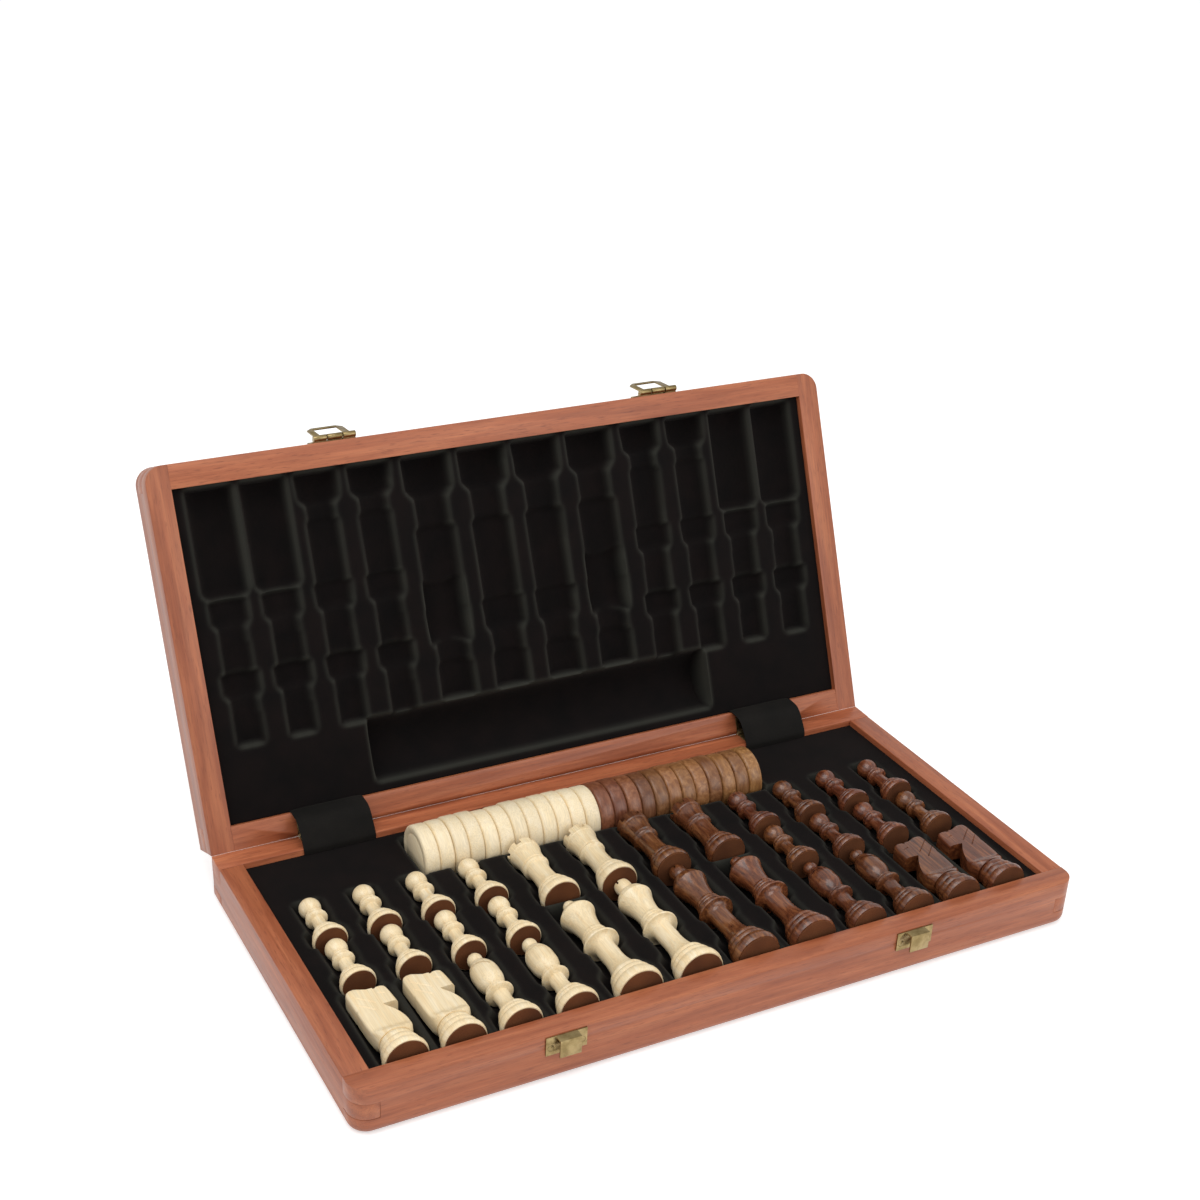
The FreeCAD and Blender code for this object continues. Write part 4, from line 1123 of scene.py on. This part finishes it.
def pawn_outline() -> Turning:
    """Draw foot, two steps, a cove up to the double collar, and the ball.

    Returns:
        The outline.
    """
    line = Turning(8.25, 0.6).arc(8.0, 4.0, 0.55).line(7.0, 4.4).arc(6.85, 6.7, 0.6)
    line.line(6.0, 7.0).arc(5.7, 9.0, 0.45).line(4.9, 9.3).arc(3.3, 18.4, -0.7).line(4.2, 18.7)
    line.arc(4.3, 21.2, 1.25, 9).line(3.9, 21.4).arc(3.8, 23.3, 0.95).line(3.2, 23.6)
    return line.ball(29.2, 5.4, 3.3)


def bishop_outline() -> Turning:
    """Draw foot, steps, a long cove, a double collar and the round head with its bead.

    Returns:
        The outline.
    """
    line = Turning(9.7, 0.6).arc(9.5, 4.9, 0.6).line(8.4, 5.3).arc(8.1, 8.3, 0.65).line(7.2, 8.7)
    line.arc(6.9, 11.2, 0.5).line(6.0, 11.6).arc(4.0, 21.5, -1.0).line(4.0, 23.6).line(4.9, 23.9)
    line.arc(5.1, 26.2, 1.9, 9).line(4.6, 26.5).arc(4.5, 28.4, 1.1).line(3.8, 28.8)
    line.arc(6.7, 37.5, 1.0, 12).arc(4.1, 47.4, 1.0, 12).line(3.2, 48.0)
    return line.ball(51.3, 3.7, 3.0, 10)


def royal_outline() -> Turning:
    """Draw foot, steps, a long neck, a wide thin collar and the waist of a king or queen.

    Returns:
        The outline.
    """
    line = Turning(11.4, 0.6).arc(11.2, 6.0, 0.75).line(10.0, 6.5).arc(9.7, 10.1, 0.75)
    line.line(8.8, 10.5).arc(8.5, 13.6, 0.6).line(7.5, 14.0).arc(5.1, 30.0, -1.0, 12)
    line.line(5.0, 35.4).arc(8.9, 38.2, -0.9).arc(8.9, 39.5, 0.35, 5).line(7.0, 40.1)
    line.arc(7.1, 42.4, 0.45, 5).line(6.6, 42.8).arc(6.6, 44.6, 0.35, 5).line(6.2, 45.0)
    return line.arc(6.1, 46.8, 0.3, 5).line(5.7, 47.3).line(5.9, 50.0)


def queen_outline() -> Turning:
    """Add a flared crown and a ball to the royal outline.

    Returns:
        The outline.
    """
    line = royal_outline().arc(8.6, 61.6, -0.5, 10).arc(8.5, 63.8, 0.6, 6).line(7.9, 64.3)
    return line.arc(3.0, 68.3, 0.9, 8).line(2.2, 68.7).ball(71.2, 3.2, 2.0)


def king_outline() -> Turning:
    """Add a flared crown, a dome and a block finial to the royal outline.

    Returns:
        The outline.
    """
    line = royal_outline().arc(8.5, 62.0, -0.5, 10).arc(8.4, 64.2, 0.6, 6).arc(4.0, 69.4, 1.1, 8)
    line.line(3.3, 70.0).line(3.3, 70.8).arc(4.2, 73.4, 0.3, 5).arc(4.0, 77.2, 0.2, 4)
    return line.arc(2.4, 78.0, 0.2, 3).line(0.0, 78.0)


def rook_outline() -> Turning:
    """Draw foot, steps, a cove, a ring and the hollow tower.

    Returns:
        The outline.
    """
    line = Turning(9.8, 0.6).arc(9.6, 5.4, 0.6).line(8.5, 5.8).arc(8.2, 9.0, 0.65).line(7.3, 9.4)
    line.arc(7.0, 12.1, 0.5).line(6.3, 12.5).arc(5.6, 26.0, -0.5, 10).line(5.6, 27.6)
    line.line(6.1, 27.9).arc(6.2, 30.4, 0.9).line(6.0, 30.8).line(6.7, 31.4).arc(7.7, 39.4, -0.3)
    line.arc(8.2, 40.6, -0.2, 4).line(8.3, 44.8).line(8.0, 45.2).line(5.9, 45.2).line(5.6, 44.8)
    return line.line(5.4, 40.6).line(0.0, 40.2)


def knight_outline() -> Turning:
    """Draw the turned foot and rings under a knight's head.

    Returns:
        The outline.
    """
    line = Turning(10.1, 0.6).arc(9.9, 4.7, 0.7).line(8.9, 5.1).arc(8.7, 8.9, 0.75).line(7.9, 9.3)
    return line.arc(7.8, 12.6, 0.5).line(7.2, 13.2).line(7.0, 14.0).line(0.0, 14.0)


MEN = (
    Man("king", 10.8, king_outline, lambda: slot_cutters(1.1, 75.4, 79.0, 6.0, [0, 90])),
    Man("queen", 10.8, queen_outline),
    Man("bishop", 9.2, bishop_outline, lambda: slit_cutter(1.2, 39.4, -1.0, -35.0)),
    Man("knight", 9.7, knight_outline),
    Man("rook", 9.3, rook_outline, lambda: slot_cutters(2.8, 42.2, 46.0, 10.0, [0, 60, 120])),
    Man("pawn", 7.8, pawn_outline),
)
COUNTS = {"king": 0, "queen": 0, "bishop": 2, "knight": 2, "rook": 2, "pawn": 8}


@dataclass
class DiscRow:
    """A row of draughtsmen on edge, each with its own wood."""

    tone: str
    count: int = 12
    edge_mm: float = 1.25
    gap_mm: float = 0.22
    shift_mm: float = 0.45
    ring_mm: float = 0.25
    swell_mm: float = 0.26
    segments: int = 72
    # tone and warmth of each dark disc, from the pale row's end
    woods: tuple = (
        *((-0.5, -0.8), (-0.8, -0.9), (0.1, -0.5), (-1.1, -0.4), (-0.5, 0.1), (0.7, 0.1)),
        *((0.4, 0.3), (0.9, 0.2), (-0.3, 0.0), (0.8, 0.4), (-0.1, 0.2), (1.2, 0.6)),
    )

    def _disc(self, radius: float, thick: float) -> list[tuple[float, float]]:
        """Draw the half outline of one disc: rounded edges and a shallow turned ring.

        Args:
            radius: the disc's radius.
            thick: its thickness.

        Returns:
            Pairs of a radius and a height.
        """
        edge, ring, inside, outside = self.edge_mm, radius * 0.73, radius * 0.70, radius * 0.76
        rim = Turning(0.0001, 0.0).line(inside, 0.0).line(ring, self.ring_mm).line(outside, 0.0)
        rim.line(radius - edge, 0.0).arc(radius, edge, self.swell_mm, 4).line(radius, thick - edge)
        rim.arc(radius - edge, thick, self.swell_mm, 4).line(outside, thick)
        return rim.line(ring, thick - self.ring_mm).line(inside, thick).points

    def build(self) -> None:
        """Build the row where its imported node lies."""
        node = f"{self.tone}_checkers"
        low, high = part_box(node)
        radius = (high.z - low.z) / 2 / MM
        pitch = (high.x - low.x) / MM / self.count
        chance = random.Random(node + "s")
        outline = self._disc(radius, pitch - self.gap_mm)
        places, faces, grain, tones, warmths = [], [], [], [], []
        for number in range(self.count):
            start = low.x / MM + number * pitch + self.gap_mm / 2
            offset = np.array([chance.uniform(0, 9) for _ in range(3)])
            spin = chance.uniform(0, math.pi)
            off_y, off_z = (chance.uniform(-self.shift_mm, self.shift_mm) for _ in range(2))
            level, warmth = self.woods[number] if self.tone == "dark" else (chance.uniform(-1, 1), 0.0)
            first = len(places)
            for r, h in outline:
                for i in range(self.segments):
                    a = 2 * math.pi * i / self.segments
                    y, z = r * math.cos(a), r * math.sin(a)
                    places.append((start + h, y + off_y, z + off_z))
                    turned_y = y * math.cos(spin) - z * math.sin(spin)
                    turned_z = y * math.sin(spin) + z * math.cos(spin)
                    grain.append(np.array([h, turned_y, turned_z]) * MM + offset)
            tones += [level] * (len(places) - first)
            warmths += [warmth] * (len(places) - first)
            faces += wall_faces(len(outline), self.segments, first)
            faces.append(tuple(range(first, first + self.segments)))
            faces.append(tuple(range(len(places) - self.segments, len(places))))
        mesh = new_mesh(node, places, faces)
        give_grain(mesh, np.array(grain))
        give_floats(mesh, "tone", np.array(tones))
        give_floats(mesh, "warmth", np.array(warmths))
        rework(mesh, face_outward)
        smooth(mesh, 35)
        centre = Matrix.Translation((0, (low.y + high.y) / 2, (low.z + high.z) / 2))
        finish = Finish.DARK_DISCS if self.tone == "dark" else Finish.LIGHT_DISCS
        thing = put_in_scene(f"{node}_turned", mesh, centre)
        install(thing, node, node, [finish])


def blurred(heights: np.ndarray, sigma: float) -> np.ndarray:
    """Soften a height field with a bell-shaped average.

    Args:
        heights: the field.
        sigma: the bell's width, in cells.

    Returns:
        The softened field.
    """
    reach = int(sigma * 3 + 1)
    weights = np.exp(-(np.arange(-reach, reach + 1) ** 2) / (2 * sigma * sigma))
    weights /= weights.sum()
    for axis in (0, 1):
        padded = np.pad(heights, [(reach, reach) if a == axis else (0, 0) for a in (0, 1)], mode="edge")
        heights = np.apply_along_axis(lambda line: np.convolve(line, weights, "valid"), axis, padded)
    return heights


@dataclass
class FormedTray:
    """The flocked tray of a half: one formed surface with a trough for every piece."""

    half: Half
    cell_mm: float = 1.0
    surface_mm: float = 22.0
    soften_mm: float = 0.75
    sharpest_mm: float = 1.6
    # the disc channel's room round the discs and past the row's ends
    channel_mm: tuple = (1.0, 0.8)
    # half width, half length, middle and depth of a finger pocket
    pocket_mm: tuple = (11.0, 17.0, -2.0, 12.0)
    # for each man: radius of the trough against the height along the man
    troughs: dict = field(
        default_factory=lambda: {
            "pawn": ((-0.8, 9.7), (9.5, 9.5), (12.5, 6.9), (19.5, 6.9), (21.0, 7.2), (35.0, 7.2)),
            "rook": ((-0.8, 11.4), (12.5, 11.0), (16.0, 8.6), (26.0, 8.2), (28.5, 9.4), (45.6, 9.8)),
            "bishop": ((-0.8, 11.2), (12.0, 10.6), (15.5, 7.2), (22.0, 7.0), (24.5, 8.4), (55.4, 8.2)),
            "knight": ((-0.8, 11.7), (49.9, 11.7), (51.5, 10.8), (53.0, 9.0), (54.0, 6.5), (54.4, 0.0)),
            "queen": ((-0.8, 13.0), (16.0, 12.6), (20.5, 8.8), (34.5, 8.4), (37.0, 10.4), (74.8, 10.2)),
            "king": ((-0.8, 13.0), (16.0, 12.6), (20.5, 8.8), (34.5, 8.4), (37.0, 10.4), (78.4, 10.0)),
        }
    )

    def _depths(self, xs: np.ndarray, ys: np.ndarray) -> np.ndarray:
        """Find how deep the troughs are.

        Args:
            xs: the cells' places across the tray.
            ys: their places from front to back.

        Returns:
            The depth at every cell, in millimetres.
        """
        depth = np.zeros((len(xs), len(ys)))
        for tone in ("light", "dark"):
            for kind, count in COUNTS.items():
                for number in range(1, max(count, 1) + 1):
                    rest = Rest(f"{tone}_{kind}" + (f"_{number}" if count else ""))
                    profile = np.array(self.troughs[kind])
                    along = ys - rest.start()
                    radius = np.interp(along, profile[:, 0], profile[:, 1], left=0, right=0)
                    across = np.abs(xs - rest.column())
                    trough = np.sqrt(np.maximum(radius[None, :] ** 2 - across[:, None] ** 2, 0))
                    depth = np.maximum(depth, trough)
        low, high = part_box("light_checkers")[0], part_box("dark_checkers")[1]
        middle = (low.y + high.y) / 2 / MM
        room, ends = self.channel_mm
        reach = (high.z - low.z) / 2 / MM + room
        channel = np.sqrt(np.maximum(reach**2 - (ys - middle) ** 2, 0))
        inside = (xs > low.x / MM - ends) & (xs < high.x / MM + ends)
        return np.maximum(depth, inside[:, None] * channel[None, :])

    def _pockets(self, xs: np.ndarray, ys: np.ndarray) -> np.ndarray:
        """Find how deep the finger pockets are that only the lid has, beside the queens.

        Args:
            xs: the cells' places across the tray.
            ys: their places from front to back.

        Returns:
            The depth at every cell, in millimetres.
        """
        depth = np.zeros((len(xs), len(ys)))
        half_x, half_y, middle, deep = self.pocket_mm
        for node in ("light_queen", "dark_queen"):
            column = Rest(node).column()
            across = np.clip(1 - ((xs - column) / half_x) ** 6, 0, 1)
            along = np.clip(1 - ((ys - middle) / half_y) ** 6, 0, 1)
            depth = np.maximum(depth, deep * np.sqrt(across[:, None] * along[None, :]))
        return depth

    def _ridges(self, depth: np.ndarray) -> np.ndarray:
        """Find how sharply the sheet bulges up, which is where the flock's painted sheen goes.

        Args:
            depth: the depth at every cell.

        Returns:
            None to one, at every cell.
        """
        padded = np.pad(depth, 1, mode="edge")
        around = padded[:-2, 1:-1] + padded[2:, 1:-1] + padded[1:-1, :-2] + padded[1:-1, 2:]
        return blurred(np.clip((around - 4 * depth) / self.sharpest_mm - 0.12, 0, 1), 0.7)

    def build(self) -> None:
        """Build the tray as a closed sheet with a flat underside."""
        node = f"{self.half.value}_tray"
        low, high = (np.array(c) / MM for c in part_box("base_tray"))
        xs = np.linspace(low[0], high[0], int((high[0] - low[0]) / self.cell_mm) + 1)
        ys = np.linspace(low[1], high[1], int((high[1] - low[1]) / self.cell_mm) + 1)
        depth = self._depths(xs, ys)
        if self.half is Half.LID:
            depth = np.maximum(depth, self._pockets(xs, ys))
        depth = blurred(depth, self.soften_mm / self.cell_mm)
        rows, lines = len(xs), len(ys)
        level = self.surface_mm - depth
        places = [(x, y, level[i, j]) for i, x in enumerate(xs) for j, y in enumerate(ys)]
        faces = [
            (i * lines + j, (i + 1) * lines + j, (i + 1) * lines + j + 1, i * lines + j + 1)
            for i in range(rows - 1)
            for j in range(lines - 1)
        ]
        rim = [i * lines for i in range(rows)]
        rim += [(rows - 1) * lines + j for j in range(1, lines)]
        rim += [i * lines + lines - 1 for i in range(rows - 2, -1, -1)]
        rim += list(range(lines - 2, 0, -1))
        first, count = len(places), len(rim)
        places += [(places[v][0], places[v][1], low[2]) for v in rim]
        for i in range(count):
            j = (i + 1) % count
            faces.append((rim[i], first + i, first + j, rim[j]))
        faces.append(tuple(range(first + count - 1, first - 1, -1)))
        mesh = new_mesh(node, places, faces)
        # the ridge mask, where the flock material paints its sheen
        give_floats(mesh, "ridge", np.concatenate([self._ridges(depth).ravel(), np.zeros(count)]))
        smooth(mesh, 50)
        thing = put_in_scene(f"{node}_formed", mesh, self.half.matrix())
        install(thing, self.half.value, node, [Finish.FLOCK])


@dataclass
class HingeStraps:
    """Leatherette straps that bridge the hinges from the base's wall to the lid's."""

    width_mm: float = 38.0
    thick_mm: float = 0.9
    centre_mm: float = 128.0
    tail_mm: float = 2.9
    rise_mm: float = 0.4
    stand_off_mm: float = 0.65
    bulge_mm: float = 5.0
    crease_share: float = 0.6
    across: int = 10
    bend_share: float = 0.2

    def _path(self) -> list[Vector]:
        """Draw the strap's middle line, from base to lid.

        Returns:
            Its points, at x = 0.
        """
        low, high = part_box("base_back_rail")
        rim, pivot = high.z, LidFrame().joint["pos_m"][2]
        wall, tail = low.y - self.stand_off_mm * MM, self.tail_mm * MM
        swing = LidFrame().closed_to_open()
        path = [Vector((0, wall, rim - tail)), Vector((0, wall, rim + self.rise_mm * MM))]
        path += [swing @ Vector((0, wall, 2 * pivot - rim + up)) for up in (0.0, tail)]
        chord = path[2] - path[1]
        away = Vector((0, -chord.z, chord.y)).normalized()
        path.insert(2, path[1] + chord * self.crease_share + away * self.bulge_mm * MM)
        for _ in range(3):
            cut = [path[0]]
            for a, b in zip(path, path[1:]):
                cut += [a.lerp(b, 0.2), a.lerp(b, 0.8)]
            path = cut + [path[-1]]
        return path

    def _sheet(self, path: list[Vector], centre: float, side: int) -> list[tuple]:
        """Lay the points of one face of a strap.

        Args:
            path: the middle line.
            centre: where the strap's middle is across the case, in millimetres.
            side: 1 for the face on the left of the path, -1 for the other.

        Returns:
            A row of points across the strap for each point of the path.
        """
        places = []
        for k, point in enumerate(path):
            ahead = path[min(k + 1, len(path) - 1)] - path[max(k - 1, 0)]
            out = Vector((0, -ahead.z, ahead.y)).normalized() * (self.thick_mm / 2 * MM * side)
            for i in range(self.across + 1):
                share = i / self.across * 2 - 1
                spot = point + out * math.sqrt(max(1 - abs(share) ** 12, 0.12))
                places.append((centre * MM + share * self.width_mm / 2 * MM, spot.y, spot.z))
        return places

    def build(self) -> None:
        """Build both straps as one piece that bends with the lid."""
        path, row = self._path(), self.across + 1
        size = len(path) * row
        places, faces = [], []
        rim = list(range(row)) + [k * row + row - 1 for k in range(1, len(path))]
        rim += [(len(path) - 1) * row + i for i in range(row - 2, -1, -1)]
        rim += [k * row for k in range(len(path) - 2, 0, -1)]
        for centre in (-self.centre_mm, self.centre_mm):
            top = len(places)
            for side in (1, -1):
                first = len(places)
                places += self._sheet(path, centre, side)
                for k in range(len(path) - 1):
                    for i in range(self.across):
                        a = first + k * row + i
                        face = (a, a + 1, a + row + 1, a + row)
                        faces.append(face if side > 0 else (a, a + row, a + row + 1, a + 1))
            for a, b in zip(rim, rim[1:] + rim[:1]):
                faces.append((top + a, top + size + a, top + size + b, top + b))
        mesh = bpy.data.meshes.new("straps")
        mesh.from_pydata(places, [], faces)
        rework(mesh, face_outward)
        smooth(mesh, 50)
        thing = put_in_scene("hinge_straps_cut", mesh)
        mesh.materials.append(material_of(Finish.STRAP))
        held = len(path) * self.bend_share
        start, end = path[int(held)], path[-int(math.ceil(held))]
        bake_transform(thing, "base", "lid", start=tuple(start), end=tuple(end))
        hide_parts("hinge_straps")
        LOG.info("%s bends between base and lid", thing.name)


@dataclass
class Brassware:
    """Stamped brass: catches, hasps, hinge leaves, pins and screws with softened edges."""

    edge_mm: float = 0.16
    nodes: tuple = (
        *("catch_plates", "hasp_plates", "left_hasp", "right_hasp", "base_hinge_leaves"),
        *("lid_hinge_leaves", "hinge_pins", "base_screws", "lid_screws"),
    )

    def build(self) -> None:
        """Copy each brass solid and soften its edges."""
        for node in self.nodes:
            body = "lid" if node.startswith(("lid", "hasp")) else "base"
            body = node if node.endswith("_hasp") else body
            mesh = frame["nodes"][node].data.copy()
            mesh.materials.clear()
            thing = put_in_scene(f"{node}_stamped", mesh)
            rework(mesh, join_flats)
            bevel = thing.modifiers.new("edge", "BEVEL")
            bevel.width = self.edge_mm * MM
            bevel.segments = 2
            bevel.limit_method = "ANGLE"
            bevel.angle_limit = math.radians(50)
            apply_modifiers(thing)
            smooth(thing.data, 40)
            install(thing, body, node, [Finish.BRASS])


@dataclass
class Studio:
    """A pale floor, soft light and the camera."""

    floor_reach_m: float = 6.0
    floor_level_m: float = -0.0004
    floor_glow: float = 0.5
    room_light: float = 0.62
    # name, place, width and power of each soft box, and the spot they face
    boxes: tuple = (
        ("soft_box_above", (-0.5, -0.35, 1.7), 1.5, 15.0),
        ("soft_box_front", (0.9, -1.5, 0.9), 1.2, 7.0),
    )
    aim_m: tuple = (0, 0, 0.03)
    # azimuth, elevation and roll of the camera, in degrees
    turns: tuple = (-27.54, 29.25, 2.03)
    target_mm: tuple = (-54.72, 0.0, 125.06)
    distance_mm: float = 830.79
    lens_mm: float = 55.19
    shift: tuple = (0.0396, 0.0935)

    def floor(self) -> None:
        """Lay a plain white floor that keeps the case's soft shadow."""
        reach, level = self.floor_reach_m, self.floor_level_m
        corners = [(x * reach, y * reach, level) for x, y in ((-1, -1), (1, -1), (1, 1), (-1, 1))]
        mesh = bpy.data.meshes.new("floor")
        mesh.from_pydata(corners, [], [(0, 1, 2, 3)])
        # White paper: matt, with a glow that only the camera and shiny things see.
        material = bpy.data.materials.new("paper_white_floor")
        material.use_nodes = True
        tree = material.node_tree
        tree.nodes.clear()
        path = add_node(tree, "LightPath").outputs
        seen = path["Is Camera Ray"]
        for ray in ("Is Glossy Ray", "Is Transmission Ray"):
            either = add_node(tree, "Math", {"operation": "MAXIMUM"}, {0: seen, 1: path[ray]})
            seen = either.outputs["Value"]
        glow = add_node(tree, "Math", {"operation": "MULTIPLY", 1: self.floor_glow}, {0: seen})
        white = {"Color": (1.0, 1.0, 1.0, 1.0)}
        shine = add_node(tree, "Emission", white, {"Strength": glow.outputs["Value"]})
        paper = add_node(tree, "BsdfDiffuse", {"Color": (0.8, 0.8, 0.8, 1.0)})
        shaders = {0: paper.outputs["BSDF"], 1: shine.outputs["Emission"]}
        both = add_node(tree, "AddShader", links=shaders)
        add_node(tree, "OutputMaterial", links={"Surface": both.outputs["Shader"]})
        mesh.materials.append(material)
        put_in_scene("floor", mesh)

    def lights(self) -> None:
        """Hang a broad soft box above, a weaker one in front, and an even white surround."""
        for name, place, size, power in self.boxes:
            lamp = bpy.data.lights.new(name, "AREA")
            lamp.shape, lamp.size, lamp.energy = "SQUARE", size, power
            thing = bpy.data.objects.new(name, lamp)
            thing.location = place
            aim = Vector(self.aim_m) - Vector(place)
            thing.rotation_euler = aim.to_track_quat("-Z", "Y").to_euler()
            bpy.context.scene.collection.objects.link(thing)
        world = bpy.data.worlds.new("white_room")
        bpy.context.scene.world = world
        world.use_nodes = True
        tree = world.node_tree
        tree.nodes.clear()
        seen = add_node(tree, "LightPath").outputs["Is Camera Ray"]
        level = add_node(tree, "MapRange", span(0.0, 1.0, self.room_light, 1.0), {"Value": seen})
        white = {"Color": (1.0, 1.0, 1.0, 1.0)}
        room = add_node(tree, "Background", white, {"Strength": level.outputs["Result"]})
        add_node(tree, "OutputWorld", links={"Surface": room.outputs["Background"]})

    def camera(self) -> None:
        """Set a camera in front of the case, to the left and above."""
        azimuth, elevation, roll = (math.radians(a) for a in self.turns)
        level = math.cos(elevation)
        back = Vector((math.sin(azimuth) * level, -math.cos(azimuth) * level, math.sin(elevation)))
        place = Vector(self.target_mm) * MM + back * self.distance_mm * MM
        right = (-back).cross(Vector((0, 0, 1))).normalized()
        up = right.cross(-back)
        turned_right = right * math.cos(roll) + up * math.sin(roll)
        turned_up = up * math.cos(roll) - right * math.sin(roll)
        lens = bpy.data.cameras.new("camera")
        lens.sensor_width, lens.lens = 36.0, self.lens_mm
        lens.shift_x, lens.shift_y = self.shift
        lens.clip_start, lens.clip_end = 0.01, 50.0
        camera = bpy.data.objects.new("camera", lens)
        bpy.context.scene.collection.objects.link(camera)
        turn = Matrix((turned_right, turned_up, back)).transposed().to_4x4()
        camera.matrix_world = Matrix.Translation(place) @ turn
        bpy.context.scene.camera = camera


def main() -> None:
    """Build every piece of the set and the studio."""
    logging.basicConfig(level=logging.INFO, format="%(name)s %(message)s")
    bpy.context.scene.view_settings.view_transform = "Standard"
    for half in Half:
        CaseRails(half).build()
        BoardFace(half).build()
        FormedTray(half).build()
        panel = frame["nodes"][f"{half.value}_panel"]
        panel.data.materials.clear()
        panel.data.materials.append(material_of(Finish.PANEL))
    for tone in ("light", "dark"):
        for man in MEN:
            count = COUNTS[man.kind]
            for number in range(1, count + 1) if count else [None]:
                man.build(tone, number)
        DiscRow(tone).build()
    HingeStraps().build()
    Brassware().build()
    studio = Studio()
    studio.floor()
    studio.lights()
    studio.camera()


if __name__ == "__main__":
    main()
